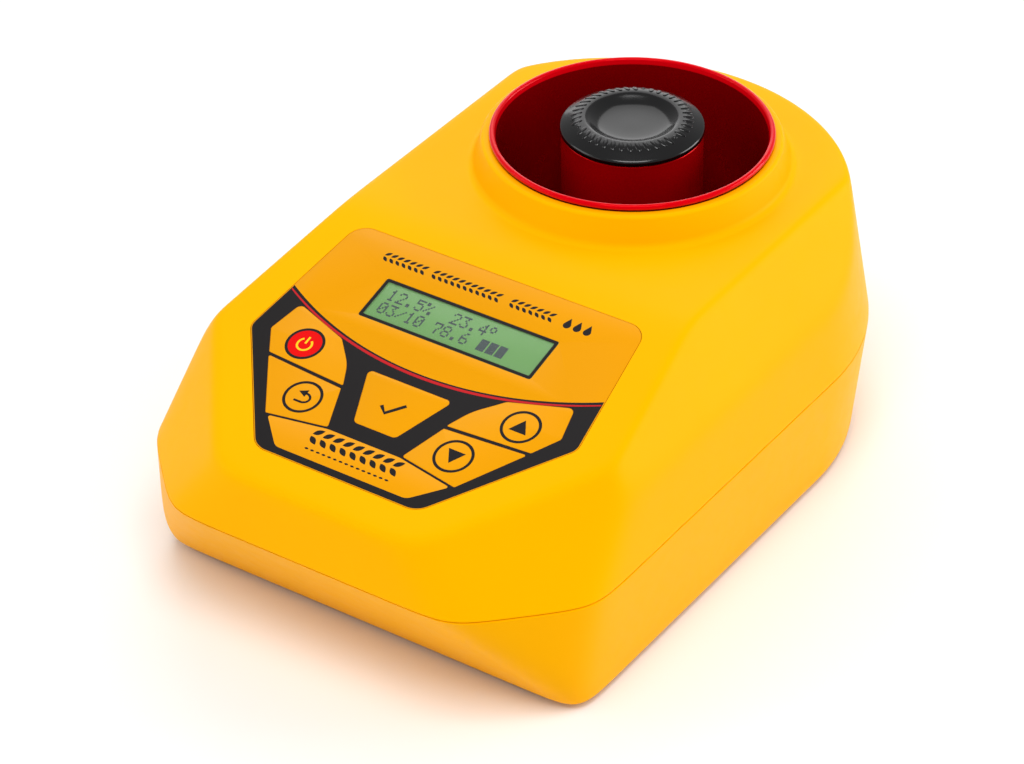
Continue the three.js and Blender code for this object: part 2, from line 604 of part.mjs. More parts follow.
function makeInsulator() {
  const profile = [[0, PILLAR_TOP_Z + GAP], [44, PILLAR_TOP_Z + GAP], [44, CUP_BASE_Z - GAP]];
  profile.push([PEDESTAL_R, CUP_BASE_Z - GAP], [PEDESTAL_R, CUP_FLOOR_Z], [0, CUP_FLOOR_Z]);
  let disc = toSolid(turnedGeometry(profile, 36));
  pillarSpots.forEach(([x, y]) => {
    disc = disc.subtract(rod(x, y, 10, 40, SCREW_HOLE_R, 8));
  });
  disc = disc.subtract(rod(...PROBE_SPOT, 10, 40, PROBE_R + GAP, 12));
  return disc.subtract(rod(0, 0, 10, 40, BOLT_R + GAP, 12));
}

addPiece('measuring_cup', toGeometry(makeCup()), 'red');
addPiece('cup_insulator', toGeometry(makeInsulator()), 'insulator');

const postProfile = [[POST_BORE_R, CUP_FLOOR_Z + GAP], [POST_R, CUP_FLOOR_Z + GAP], [POST_R, POST_TOP_Z]];
postProfile.push([POST_BORE_R, POST_TOP_Z], [POST_BORE_R, CUP_FLOOR_Z + GAP]);
addPiece('centre_post', turnedGeometry(postProfile, 40), 'red');

// Black cap: a domed ring around a bowl, with a spigot inside the post and a bolt boss.
const spigotR = POST_BORE_R - GAP;
const capProfile = [
  [BOLT_R + GAP, CAP_BOSS_LOW_Z], [CAP_BOSS_R, CAP_BOSS_LOW_Z], [CAP_BOSS_R, CAP_SPIGOT_Z],
  [spigotR, CAP_SPIGOT_Z], [spigotR, POST_TOP_Z + GAP], [CAP_R, POST_TOP_Z + GAP],
  ...CAP_DOME, ...CAP_BOWL,
  [0, CAP_BOSS_BORE_Z], [BOLT_R + GAP, CAP_BOSS_BORE_Z], [BOLT_R + GAP, CAP_BOSS_LOW_Z],
];
addPiece('post_cap', turnedGeometry(capProfile, 32), 'black');

const boltProfile = [[0, BOLT_LOW_Z], [BOLT_HEAD_R, BOLT_LOW_Z], [BOLT_HEAD_R, PILLAR_TOP_Z]];
boltProfile.push([BOLT_R, PILLAR_TOP_Z], [BOLT_R, BOLT_TOP_Z - 0.8], [0, BOLT_TOP_Z]);
addPiece('post_bolt', turnedGeometry(boltProfile, 10), 'steel');
const probeProfile = [[0, 16], [PROBE_R, 16], [PROBE_R, 33.5], [PROBE_R - 0.8, 34.5], [0, 34.7]];
addPiece('temperature_probe', turnedGeometry(probeProfile, 10), 'steel', meter, [...PROBE_SPOT, 0]);
pillarSpots.forEach(([x, y], i) => {
  addPiece(`cup_screw_${i + 1}`, screwGeometry(3.6, 2.4, 1.6, 22.5), 'steel', meter, [x, y, SCREW_LOW_Z]);
});

// ---- power

function makeHolder() {
  const [x, y, height] = HOLDER;
  const block = boxGeometry([-x / 2, -y / 2, 0], [x / 2, y / 2, height]);
  const low = [-x / 2 + HOLDER_WALL, -y / 2 + HOLDER_WALL, -1];
  const high = [x / 2 - HOLDER_WALL, y / 2 - HOLDER_WALL, height - HOLDER_WALL];
  return toSolid(block).subtract(box(low, high));
}
addPiece('battery_holder', toGeometry(makeHolder()), 'insulator', meter, [0, BATTERY_Y, PAD_TOP_Z + GAP]);

// Alternate cells point the other way, so that short strips join them in series.
for (let i = 0; i < 4; i += 1) {
  const half = CELL_LENGTH / 2;
  const profile = [[0, -half], [CELL_R - 0.4, -half], [CELL_R, -half + 0.4], [CELL_R, half - 2]];
  profile.push([CELL_R - 0.6, half - 1.2], [2.7, half - 1.2], [2.7, half], [0, half]);
  const cell = turnedGeometry(profile, 12).rotateX(i % 2 ? Math.PI / 2 : -Math.PI / 2);
  addPiece(`battery_${i + 1}`, cell, 'cell', meter, [(i - 1.5) * CELL_PITCH, BATTERY_Y, CELL_Z]);
}
[['front', -1], ['rear', 1]].forEach(([end, way]) => {
  [['left', -1], ['right', 1]].forEach(([side, across]) => {
    const strip = boxGeometry([-13, -0.25, -5.5], [13, 0.25, 5.5]);
    const y = BATTERY_Y + way * (HOLDER[1] / 2 - HOLDER_WALL - 0.6);
    addPiece(`battery_contact_${end}_${side}`, strip, 'contact', meter, [across * CELL_PITCH, y, CELL_Z]);
  });
});

function makeDoor() {
  const [x, y, thickness] = DOOR;
  const plate = box([-x / 2, -y / 2, 0], [x / 2, y / 2, thickness]);
  const ridges = [0, 1, 2, 3].map((i) => box([-9, y / 2 - 8 - 3 * i, -1], [9, y / 2 - 6.5 - 3 * i, 0.6]));
  return ridges.reduce((door, groove) => door.subtract(groove), plate);
}
addPiece('battery_door', toGeometry(makeDoor()), 'yellow', meter, [0, BATTERY_Y, 0.2]);

// ---- feet and housing screws

const footProfile = [[0, 0], [FOOT_R - 1, 0], [FOOT_R, 0.8], [FOOT_R, FOOT_HEIGHT], [0, FOOT_HEIGHT]];
FOOT_SPOTS.forEach(([x, y], i) => {
  const name = `foot_${i < 2 ? 'front' : 'rear'}_${x > 0 ? 'right' : 'left'}`;
  addPiece(name, turnedGeometry(footProfile, 20), 'rubber', meter, [x, y, -FOOT_DROP]);
});
SCREW_SPOTS.forEach(([x, y], i) => {
  addPiece(`housing_screw_${i + 1}`, screwGeometry(3.6, 2.4, 1.7, 50), 'steel', meter, [x, y, SCREW_LOW_Z]);
});

// ---------------------------------------------------------------- origin

const bounds = new THREE.Box3().setFromObject(meter, true);
meter.position.set(-(bounds.min.x + bounds.max.x) / 2, -(bounds.min.y + bounds.max.y) / 2, -bounds.min.z);

export default meter;
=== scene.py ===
import math

import bpy
import numpy as np
from mathutils import Matrix, Vector
from mathutils.geometry import tessellate_polygon


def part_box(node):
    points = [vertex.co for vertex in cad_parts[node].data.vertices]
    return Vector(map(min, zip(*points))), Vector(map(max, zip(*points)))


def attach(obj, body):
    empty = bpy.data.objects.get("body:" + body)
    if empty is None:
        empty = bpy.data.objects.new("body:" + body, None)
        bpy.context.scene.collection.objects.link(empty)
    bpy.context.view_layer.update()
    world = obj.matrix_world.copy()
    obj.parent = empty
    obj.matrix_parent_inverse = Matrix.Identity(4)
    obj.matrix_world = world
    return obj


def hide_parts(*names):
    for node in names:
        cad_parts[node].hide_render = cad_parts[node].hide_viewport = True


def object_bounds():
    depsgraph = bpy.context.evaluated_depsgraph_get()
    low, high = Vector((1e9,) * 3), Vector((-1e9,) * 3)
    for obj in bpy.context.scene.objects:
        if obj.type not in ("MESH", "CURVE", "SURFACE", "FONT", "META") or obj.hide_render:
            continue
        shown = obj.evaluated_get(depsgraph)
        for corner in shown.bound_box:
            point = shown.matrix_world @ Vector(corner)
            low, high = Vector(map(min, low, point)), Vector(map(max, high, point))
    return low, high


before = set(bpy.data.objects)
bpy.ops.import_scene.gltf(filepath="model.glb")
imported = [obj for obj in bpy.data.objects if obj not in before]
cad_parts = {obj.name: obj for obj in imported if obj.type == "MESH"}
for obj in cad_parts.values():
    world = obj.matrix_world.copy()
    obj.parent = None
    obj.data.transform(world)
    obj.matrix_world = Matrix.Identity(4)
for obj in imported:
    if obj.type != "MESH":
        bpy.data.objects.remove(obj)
cad_low, cad_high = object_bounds()

# Desktop grain moisture meter. Shapes are laid out in millimetres around the axis of the measuring cell,
# with z = 0 on the underside of the housing, and moved to the row frame when they become meshes.
# x is to the right of a user who faces the control panel, and y goes to the back.
MM = 0.001
CUP_LOW, CUP_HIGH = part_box("measuring_cup")
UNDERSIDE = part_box("base")[0].z
LAYOUT_ORIGIN = Vector(((CUP_LOW.x + CUP_HIGH.x) / 2, (CUP_LOW.y + CUP_HIGH.y) / 2, UNDERSIDE))


def layout_box(node):
    """The lowest and highest corner of a CAD node in layout millimetres."""
    low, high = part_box(node)
    return (low - LAYOUT_ORIGIN) / MM, (high - LAYOUT_ORIGIN) / MM


# ---------------------------------------------------------------- camera

CAMERA_AZIMUTH = math.radians(34.575)
CAMERA_ELEVATION = math.radians(35.148)
CAMERA_ROLL = math.radians(-0.791)
CAMERA_DISTANCE = 1321.3
CAMERA_TARGET = Vector((0, -72.8, 45))
CAMERA_LENS = 140.67
SENSOR_WIDTH = 36


def make_camera():
    data = bpy.data.cameras.new("camera")
    data.lens = CAMERA_LENS
    data.sensor_width = SENSOR_WIDTH
    data.clip_start = 0.05
    data.clip_end = 20
    level = math.cos(CAMERA_ELEVATION)
    across, along = math.sin(CAMERA_AZIMUTH) * level, math.cos(CAMERA_AZIMUTH) * level
    back = Vector((across, -along, math.sin(CAMERA_ELEVATION)))
    turn = Matrix.Rotation(CAMERA_ROLL, 3, back)
    right = turn @ Vector((math.cos(CAMERA_AZIMUTH), math.sin(CAMERA_AZIMUTH), 0))
    up = back.cross(right)
    camera = bpy.data.objects.new("camera", data)
    camera.matrix_world = Matrix((right, up, back)).transposed().to_4x4()
    camera.location = LAYOUT_ORIGIN + (CAMERA_TARGET + back * CAMERA_DISTANCE) * MM
    bpy.context.scene.collection.objects.link(camera)
    bpy.context.scene.camera = camera


make_camera()

# ---------------------------------------------------------------- sizes

# Housing outline at the parting line, and how each face leans above and below it.
SPLIT_Z = 41.5
SPLIT_GAP = 0.3
HALF_WIDTH = 86.5
FRONT_REACH = 187
CORNER_REACH = 170.5
SIDE_LEAN = math.tan(math.radians(7.2))
FRONT_LEAN = math.tan(math.radians(10.4))
CORNER_LEAN = math.tan(math.radians(33.9))
FOOTPRINT_HALF_WIDTH = 82.8
FOOTPRINT_FRONT = 157.8
REAR_CENTRE_Y = -10.5
REAR_LEAN = -0.057
REAR_LEAN_BASE = 0.034
CORNER_SOFTNESS = 2.94
EDGE_SOFTNESS = 0.8
UNDERSIDE_SOFTNESS = 0.69
PANEL_TILT = math.radians(14.7)
PANEL_Y = -100
PANEL_Z = 84.57
BEND_Y = -70.1
TOP_TILT = math.radians(0.4)
SHOULDER_RISE = math.radians(32.7)
SHOULDER_REACH = 106.25
WALL = 2.6

# Raised collar around the cup.
COLLAR_BORE_R = 47
COLLAR_TOP_Z = 103
COLLAR_FOOT_R = 56
COLLAR_SKIRT = [(53, 95), (50.9, 101.4)]
COLLAR_RIM_RADIUS = 1.6
COLLAR_BORE_DEPTH = 5
BORE_EDGE = 0.6

# Measuring cell.
CUP_R = 46.6
CUP_BORE_R = 45.6
CUP_BASE_Z = 24.5
CUP_FLOOR_Z = 29.5
LIP_BEAD_R = 1
CAP_EDGE_R = 1.1
CAP_BOSS_R = 7
CAP_BOLT_R = 2.8
CAP_BOLT_TOP_Z = 101
CAP_SPIGOT_Z = 98
# The crest of the cap's dome and the bowl inside it: radius, depth under the crest and slope.
CAP_BOWL = [(16.6, 0, 0), (14.6, 0.72, 0.68), (11.6, 2.35, 0.33), (7, 3.05, 0.06), (0, 3.15, 0)]
GRAIN_RING_R = 18.8
GRAIN_COUNT = 42
GRAIN_GROUP = 14
# Half length, half width and lean of a raised grain and of a pearl.
GRAIN_SHAPE = (2.1, 0.95, math.radians(16))
PEARL_SHAPE = (0.8, 0.8, 0)
DOME_INNER_R = 12
DOME_LOW_Z = 107
PEDESTAL_R = 28.7
PROBE_HOLE_R = 2.3

# Control panel: u to the right and v up the slope, on the panel plane. A corner is (u, v, radius).
OVERLAY_RIGHT = [(31.1, -73.1, 8), (63.2, -30.5, 5), (56.1, 22.3, 7)]
UPPER_FIELD = [
    (20, -39.6, 0.4), (50.6, -37.7, 0.8), (56.2, -28.8, 1.5),
    (53.2, -16, 2), (32, -22.9, 3), (24, -31.3, 20),
]
LOWER_FIELD = [(14.3, -56.3, 0.8), (36.4, -59.8, 0.6), (50, -38.9, 0.5), (19.9, -40.9, 0.4)]
OK_FIELD = [(8, -51, 2), (16.4, -30.3, 1.5), (-16.4, -30.3, 1.5), (-8, -51, 2)]
KEY_CENTRES = {
    "power": (-41.8, -29.9),
    "cancel": (-29.1, -49.2),
    "ok": (0, -40),
    "up": (41.8, -29.9),
    "down": (29.1, -49.2),
}
LABEL_RIGHT = [(25.2, -70.2, 4), (35.1, -60.4, 0.6), (13.8, -57, 12)]
ARC_CENTRE_V = 101.8
ARC_R = 126.8
FILM_THICKNESS = 0.5
RECESS_DEPTH = 1.2
FILM_GAP = 0.2
INK = 0.02
KEY_RING_R = 6.7
LCD_V = -3
LCD_VIEW = (64.5, 15.2)
WINDOW_BORDER = 1.2

# ---------------------------------------------------------------- mesh helpers


def on_panel(points):
    """Panel coordinates (u, v, w over the panel plane) to layout coordinates."""
    turn = np.array(Matrix.Rotation(PANEL_TILT, 3, "X"))
    return np.asarray(points, float) @ turn.T + (0, PANEL_Y, PANEL_Z)


def as_layout(points):
    return np.asarray(points, float)


def merged(shells):
    """One (points, faces, face materials) from several (points, faces, material index)."""
    points, faces, materials, start = [], [], [], 0
    for shell_points, shell_faces, material in shells:
        points.append(np.asarray(shell_points, float))
        faces.extend([tuple(i + start for i in face) for face in shell_faces])
        materials.extend([material] * len(shell_faces))
        start += len(shell_points)
    return np.concatenate(points), faces, materials


def new_mesh_object(name, shells, place=as_layout):
    """A mesh object in the row frame from shells in layout or panel millimetres."""
    points, faces, materials = merged(shells)
    mesh = bpy.data.meshes.new(name)
    row_points = place(points) * MM + np.array(LAYOUT_ORIGIN)
    mesh.from_pydata(row_points.tolist(), [], faces)
    mesh.polygons.foreach_set("material_index", materials)
    mesh.validate()
    piece = bpy.data.objects.new(name, mesh)
    bpy.context.scene.collection.objects.link(piece)
    return piece


SHARP_ANGLE = math.radians(38)


def finish_piece(piece, materials, body="housing", nodes=()):
    """Smooth shading, materials, the body that the piece rides on and the CAD nodes that it stands for."""
    for material in materials:
        piece.data.materials.append(material)
    piece.data.shade_smooth()
    piece.data.set_sharp_from_angle(angle=SHARP_ANGLE)
    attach(piece, body)
    if nodes:
        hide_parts(*nodes)
    return piece


def combine(piece, tool, operation):
    """Cuts the tool from a piece or joins it on, and removes the tool."""
    modifier = piece.modifiers.new(operation, "BOOLEAN")
    modifier.operation = operation
    modifier.solver = "MANIFOLD"
    modifier.object = tool
    bpy.context.view_layer.update()
    result = bpy.data.meshes.new_from_object(piece.evaluated_get(bpy.context.evaluated_depsgraph_get()))
    result.materials.clear()
    result.polygons.foreach_set("material_index", [0] * len(result.polygons))
    piece.modifiers.clear()
    piece.data = result
    bpy.data.objects.remove(tool)


def swept(rows, closed=False):
    """Faces between rows of points that go round the cell axis, which go up on the outside.

    A row is an array of points or, on the axis, one point. A closed sweep joins its last row to its first.
    """
    starts, points, faces = [], [], []
    for row in rows:
        starts.append(len(points))
        points.extend(np.atleast_2d(row).tolist())
    pairs = list(zip(range(len(rows) - 1), range(1, len(rows))))
    if closed:
        pairs.append((len(rows) - 1, 0))
    for low, high in pairs:
        low_count = len(np.atleast_2d(rows[low]))
        high_count = len(np.atleast_2d(rows[high]))
        count = max(low_count, high_count)
        for i in range(count):
            j = (i + 1) % count
            corners = [starts[low] + i % low_count, starts[low] + j % low_count]
            corners += [starts[high] + j % high_count, starts[high] + i % high_count]
            faces.append(tuple(dict.fromkeys(corners)))
    return points, faces


def turned(profile, segments=128, centre=(0, 0), closed=False):
    """A solid of revolution from (radius, height) points that go up on the outside."""
    angles = np.linspace(0, 2 * math.pi, segments, endpoint=False)
    rows = []
    for radius, height in profile:
        count = segments if radius > 1e-6 else 1
        ring = np.zeros((count, 3))
        ring[:, 0] = centre[0] + radius * np.cos(angles[:count])
        ring[:, 1] = centre[1] + radius * np.sin(angles[:count])
        ring[:, 2] = height
        rows.append(ring)
    return swept(rows, closed)


def rod(radius, low, high, centre=(0, 0), segments=48):
    """A plain cylinder."""
    return turned([(0, low), (radius, low), (radius, high), (0, high)], segments, centre)


def arc(centre, radii, start, end, steps):
    """Points on an ellipse arc, angles in degrees, both ends included."""
    angles = np.radians(np.linspace(start, end, steps + 1))
    return [(centre[0] + radii[0] * math.cos(a), centre[1] + radii[1] * math.sin(a)) for a in angles]


def corner_arc(corner, radius, start, end, steps):
    """An arc that rounds the upper outer corner of a profile."""
    return arc((corner[0] - radius, corner[1] - radius), (radius, radius), start, end, steps)


def circle(centre, radius, count=64):
    return arc(centre, (radius, radius), 0, 360 * (count - 1) / count, count - 1)


def rounded(corners, steps=8):
    """A closed outline with each corner (u, v, radius) replaced by a tangent arc."""
    outline = []
    for i, (u, v, radius) in enumerate(corners):
        corner = Vector((u, v))
        before = (Vector(corners[i - 1][:2]) - corner).normalized()
        after = (Vector(corners[(i + 1) % len(corners)][:2]) - corner).normalized()
        if radius == 0:
            outline.append(tuple(corner))
            continue
        half = before.angle(after) / 2
        centre = corner + (before + after).normalized() * radius / math.sin(half)
        first = corner + before * radius / math.tan(half) - centre
        last = corner + after * radius / math.tan(half) - centre
        sweep = first.angle_signed(last)
        for k in range(steps + 1):
            spoke = first.copy()
            spoke.rotate(Matrix.Rotation(-sweep * k / steps, 2))
            outline.append(tuple(centre + spoke))
    return outline


def mirrored(corners):
    return [(-corner[0], *corner[1:]) for corner in reversed(corners)]


def rectangle(width, height, centre=(0, 0), radius=0.0):
    u, v = width / 2, height / 2
    signs = ((1, -1), (1, 1), (-1, 1), (-1, -1))
    corners = [(centre[0] + i * u, centre[1] + j * v, radius) for i, j in signs]
    return rounded(corners, 4)


def counter_clockwise(outline):
    points = np.asarray(outline, float)
    following = np.roll(points, -1, axis=0)
    area = (points[:, 0] * following[:, 1] - following[:, 0] * points[:, 1]).sum()
    return points if area > 0 else points[::-1]


def offset(outline, amount):
    """A closed outline moved outward by an amount, or inward where it is negative."""
    points = counter_clockwise(outline)
    keep = np.linalg.norm(points - np.roll(points, 1, axis=0), axis=1) > 1e-5
    points = points[keep]
    before = points - np.roll(points, 1, axis=0)
    after = np.roll(points, -1, axis=0) - points
    before /= np.linalg.norm(before, axis=1)[:, None]
    after /= np.linalg.norm(after, axis=1)[:, None]
    bisector = before + after
    bisector /= np.linalg.norm(bisector, axis=1)[:, None]
    normal = np.stack([bisector[:, 1], -bisector[:, 0]], axis=1)
    stretch = 1 / np.maximum(0.4, (bisector * after).sum(axis=1))
    return points + normal * (amount * stretch)[:, None]


def plate(outline, low, high, holes=(), edge=0.0):
    """A closed slab with holes. Its upper rim is rounded by edge."""
    loops = [(offset(outline, 0), 1)] + [(offset(hole, 0)[::-1], -1) for hole in holes]
    levels = [(0, low)]
    if edge:
        levels += [(0, high - edge), (0.3 * edge, high - 0.3 * edge), (edge, high)]
    else:
        levels += [(0, high)]
    points, faces, rim_starts = [], [], []
    for inset, height in levels:
        rim_starts.append(len(points))
        for loop, side in loops:
            moved = loop
            if inset:
                moved = offset(loop, -inset * side)
                moved = moved if side > 0 else moved[::-1]
            points.extend([(u, v, height) for u, v in moved])
    count = sum(len(loop) for loop, side in loops)
    for k in range(len(levels) - 1):
        start = 0
        for loop, side in loops:
            for i in range(len(loop)):
                a = rim_starts[k] + start + i
                b = rim_starts[k] + start + (i + 1) % len(loop)
                faces.append((a, b, b + count, a + count))
            start += len(loop)
    loops_flat, start = [], rim_starts[-1]
    for loop, side in loops:
        loops_flat.append([Vector((*points[start + i][:2], 0)) for i in range(len(loop))])
        start += len(loop)
    flat = [point for loop in loops_flat for point in loop]
    for a, b, c in tessellate_polygon(loops_flat):
        turn = (flat[b] - flat[a]).cross(flat[c] - flat[a]).z
        top = (a, b, c) if turn > 0 else (a, c, b)
        faces.append(tuple(i + rim_starts[-1] for i in top))
        faces.append(tuple(reversed(top)))
    return points, faces


# ---------------------------------------------------------------- housing surface


def soft_max(softness, *values):
    """The largest value at each place, rounded where two of them meet."""
    stack = np.stack(np.broadcast_arrays(*values))
    peak = stack.max(axis=0)
    return peak + softness * np.log(np.exp((stack - peak) / softness).sum(axis=0))


def housing_field(x, y, z):
    """Negative inside the housing and zero on its surface, in millimetres."""
    across = np.abs(x)
    height = z - SPLIT_Z
    upper = height >= 0
    front_lean = (FRONT_REACH - FOOTPRINT_FRONT) / SPLIT_Z
    side_lean = (HALF_WIDTH - FOOTPRINT_HALF_WIDTH) / SPLIT_Z
    front = FRONT_REACH + height * np.where(upper, -FRONT_LEAN, front_lean)
    side = HALF_WIDTH + height * np.where(upper, -SIDE_LEAN, side_lean)
    corner = CORNER_REACH - height * np.where(upper, CORNER_LEAN, 0)
    rear_y = REAR_CENTRE_Y + height * np.where(upper, REAR_LEAN, REAR_LEAN_BASE)
    sides_and_back = np.hypot(across, np.maximum(0, y - rear_y)) - side
    walls = soft_max(CORNER_SOFTNESS, sides_and_back, -y - front, (across - y) / math.sqrt(2) - corner)
    panel = (PANEL_Y - y) * math.sin(PANEL_TILT) + (z - PANEL_Z) * math.cos(PANEL_TILT)
    bend_z = PANEL_Z + math.tan(PANEL_TILT) * (BEND_Y - PANEL_Y)
    top = (BEND_Y - y) * math.sin(TOP_TILT) + (z - bend_z) * math.cos(TOP_TILT)
    shoulder = across * math.cos(SHOULDER_RISE) + z * math.sin(SHOULDER_RISE) - SHOULDER_REACH
    return soft_max(UNDERSIDE_SOFTNESS, soft_max(EDGE_SOFTNESS, walls, panel, top, shoulder), -z)


def surface_distance(start, direction, inset=0.0):
    """How far each ray goes before it meets the housing surface moved in by an inset."""
    near = np.zeros(np.broadcast(*start, *direction).shape)
    far = near + 300
    for _ in range(30):
        middle = (near + far) / 2
        place = [s + d * middle for s, d in zip(start, direction)]
        inside = housing_field(*place) < -inset
        near = np.where(inside, middle, near)
        far = np.where(inside, far, middle)
    return near


SECTORS = 600


def sector_angles():
    """Angles around the cell axis, evenly spaced along the housing outline from the middle of the front."""
    dense = np.linspace(-math.pi / 2, 1.5 * math.pi, 7201)
    radius = surface_distance((0, 0, SPLIT_Z), (np.cos(dense), np.sin(dense), 0))
    outline = np.stack([radius * np.cos(dense), radius * np.sin(dense)], axis=1)
    length = np.concatenate([[0], np.cumsum(np.linalg.norm(np.diff(outline, axis=0), axis=1))])
    return np.interp(np.linspace(0, length[-1], SECTORS, endpoint=False), length, dense)


ANGLES = sector_angles()
COS, SIN = np.cos(ANGLES), np.sin(ANGLES)


def ring(radius, height):
    """One row of points from a radius and height for each sector."""
    return np.stack(np.broadcast_arrays(radius * COS, radius * SIN, height), axis=1)


def wall_ring(height, inset=0.0):
    """The row where the housing surface, moved in by an inset, has a height."""
    return ring(surface_distance((0, 0, height), (COS, SIN, 0), inset), height)


def top_height(radius, inset=0.0):
    """The height of the housing's top at a radius in each sector."""
    return SPLIT_Z + surface_distance((radius * COS, radius * SIN, SPLIT_Z), (0, 0, 1), inset)


def surface_rows(start_height, end_radius, count, inset, upward):
    """Even rows on the housing surface, from a height on the wall to a radius on the top or underside."""
    way = 1 if upward else -1
    tilt = np.linspace(0, way * math.pi / 2, 500)[None, :]
    level, rise = np.cos(tilt), np.sin(tilt)
    reach = surface_distance((0, 0, SPLIT_Z), (level * COS[:, None], level * SIN[:, None], rise), inset)
    radius, height = reach * level, SPLIT_Z + reach * rise
    steps = np.hypot(np.diff(radius, axis=1), np.diff(height, axis=1))
    length = np.concatenate([np.zeros((SECTORS, 1)), np.cumsum(steps, axis=1)], axis=1)
    even = np.empty((SECTORS, count))
    for i in range(SECTORS):
        start = np.interp(way * start_height, way * height[i], length[i])
        end = np.interp(-end_radius, -radius[i], length[i])
        even[i] = np.interp(np.linspace(start, end, count), length[i], tilt[0])
    level, rise = np.cos(even), np.sin(even)
    reach = surface_distance((0, 0, SPLIT_Z), (level * COS[:, None], level * SIN[:, None], rise), inset)
    return [ring(reach[:, k] * level[:, k], SPLIT_Z + reach[:, k] * rise[:, k]) for k in range(count)]


# ---------------------------------------------------------------- materials


def srgb(red, green, blue):
    """A linear colour from sRGB values of 0 to 255."""
    channels = [c / 255 for c in (red, green, blue)]
    return (*[c / 12.92 if c <= 0.04045 else ((c + 0.055) / 1.055) ** 2.4 for c in channels], 1)


def new_material(name, colour, roughness, **shader):
    """A Principled material; the other named sockets are set to plain values."""
    material = bpy.data.materials.new(name)
    material.use_nodes = True
    principled = material.node_tree.nodes["Principled BSDF"]
    principled.inputs["Base Color"].default_value = colour
    principled.inputs["Roughness"].default_value = roughness
    for socket, value in shader.items():
        principled.inputs[socket.replace("_", " ")].default_value = value
    return material


def add_node(material, kind, **settings):
    node = material.node_tree.nodes.new(kind)
    for name, value in settings.items():
        if name in node.inputs:
            node.inputs[name].default_value = value
        else:
            setattr(node, name, value)
    return node


def noise(material, scale, detail=2.0):
    """A noise pattern fixed to the object, with scale in cells per metre."""
    place = add_node(material, "ShaderNodeTexCoord")
    pattern = add_node(material, "ShaderNodeTexNoise", Scale=scale, Detail=detail)
    material.node_tree.links.new(place.outputs["Object"], pattern.inputs["Vector"])
    return pattern.outputs["Fac"]


def vary(material, pattern, socket, low, high):
    """Drives a socket between two values with a pattern."""
    link = material.node_tree.links.new
    target = material.node_tree.nodes["Principled BSDF"].inputs[socket]
    if isinstance(low, tuple):
        ramp = add_node(material, "ShaderNodeValToRGB")
        ramp.color_ramp.elements[0].position = 0.3
        ramp.color_ramp.elements[0].color = low
        ramp.color_ramp.elements[1].position = 0.7
        ramp.color_ramp.elements[1].color = high
        link(pattern, ramp.inputs["Fac"])
        link(ramp.outputs["Color"], target)
        return
    scale = add_node(material, "ShaderNodeMapRange")
    scale.inputs["From Min"].default_value = 0.3
    scale.inputs["From Max"].default_value = 0.7
    scale.inputs["To Min"].default_value = low
    scale.inputs["To Max"].default_value = high
    link(pattern, scale.inputs["Value"])
    link(scale.outputs["Result"], target)


def roughen(material, pattern, strength, depth):
    """A bump from a pattern; depth is in millimetres."""
    bump = add_node(material, "ShaderNodeBump", Strength=strength, Distance=depth * MM)
    material.node_tree.links.new(pattern, bump.inputs["Height"])
    principled = material.node_tree.nodes["Principled BSDF"]
    material.node_tree.links.new(bump.outputs["Normal"], principled.inputs["Normal"])


def shade(colour, factor):
    return (*[c * factor for c in colour[:3]], 1)


def moulded(name, colour, roughness, grain=2600, depth=0.02, drift=0.03, **shader):
    """Moulded plastic: a fine spark-eroded grain, and slow drifts in colour and gloss."""
    material = new_material(name, colour, roughness, **shader)
    slow = noise(material, 14, 3)
    vary(material, slow, "Base Color", shade(colour, 1 - drift), shade(colour, 1 + drift / 2))
    vary(material, noise(material, 190, 4), "Roughness", roughness * 0.92, roughness * 1.1)
    roughen(material, noise(material, grain, 2), 0.35, depth)
    return material


YELLOW_TINT = srgb(255, 190, 0)
SATIN = {"grain": 5200, "depth": 0.006, "Specular_IOR_Level": 0.2}
MATT = {"Specular_Tint": YELLOW_TINT, "Specular_IOR_Level": 0.06}
housing_yellow = moulded("housing_yellow", srgb(255, 179, 0), 0.4, **MATT)
film_amber = moulded("film_amber", srgb(230, 154, 8), 0.36, Specular_Tint=YELLOW_TINT, **SATIN)
ink_black = moulded("ink_black", srgb(19, 15, 16), 0.4, **SATIN)
ink_red = moulded("ink_red", srgb(190, 14, 24), 0.4, **SATIN)
key_red = moulded("key_red", srgb(226, 4, 4), 0.38, Specular_Tint=srgb(255, 120, 110), **SATIN)
ink_yellow = moulded("ink_yellow", srgb(255, 200, 20), 0.4, **SATIN)
GLOSS = {"grain": 900, "depth": 0.004, "Specular_Tint": srgb(255, 60, 60)}
# The inside of the cup gets a darker red than the lip of the same part: painted shade for the deep cup,
# over a metallic finish.
cell_red = moulded("cell_red", srgb(170, 0, 6), 0.26, Metallic=0.6, **GLOSS)
lip_red = moulded("lip_red", srgb(214, 0, 14), 0.14, **GLOSS)
post_red = moulded("post_red", srgb(186, 0, 6), 0.24, Metallic=0.45, **GLOSS)
cap_black = moulded("cap_black", srgb(5, 5, 6), 0.17, grain=1500, depth=0.002)
insulating_plastic = moulded("insulating_plastic", srgb(28, 28, 30), 0.55)
foot_rubber = moulded("foot_rubber", srgb(24, 24, 26), 0.82, grain=1800, depth=0.05)
chip_plastic = moulded("chip_plastic", srgb(20, 20, 22), 0.5, grain=4000)
cell_wrap = moulded("cell_wrap", srgb(40, 84, 150), 0.3, grain=1500)
bezel_black = moulded("bezel_black", srgb(22, 22, 24), 0.45, Metallic=0.6)
display_green = moulded("display_green", srgb(96, 150, 74), 0.3, grain=1200, depth=0.003, drift=0.02)
display_dot = moulded("display_dot", srgb(6, 38, 42), 0.35, grain=3000, depth=0.003)
window_clear = new_material("window_clear", srgb(235, 240, 235), 0.06, Alpha=0.03, IOR=1.49)
vary(window_clear, noise(window_clear, 60), "Roughness", 0.04, 0.09)


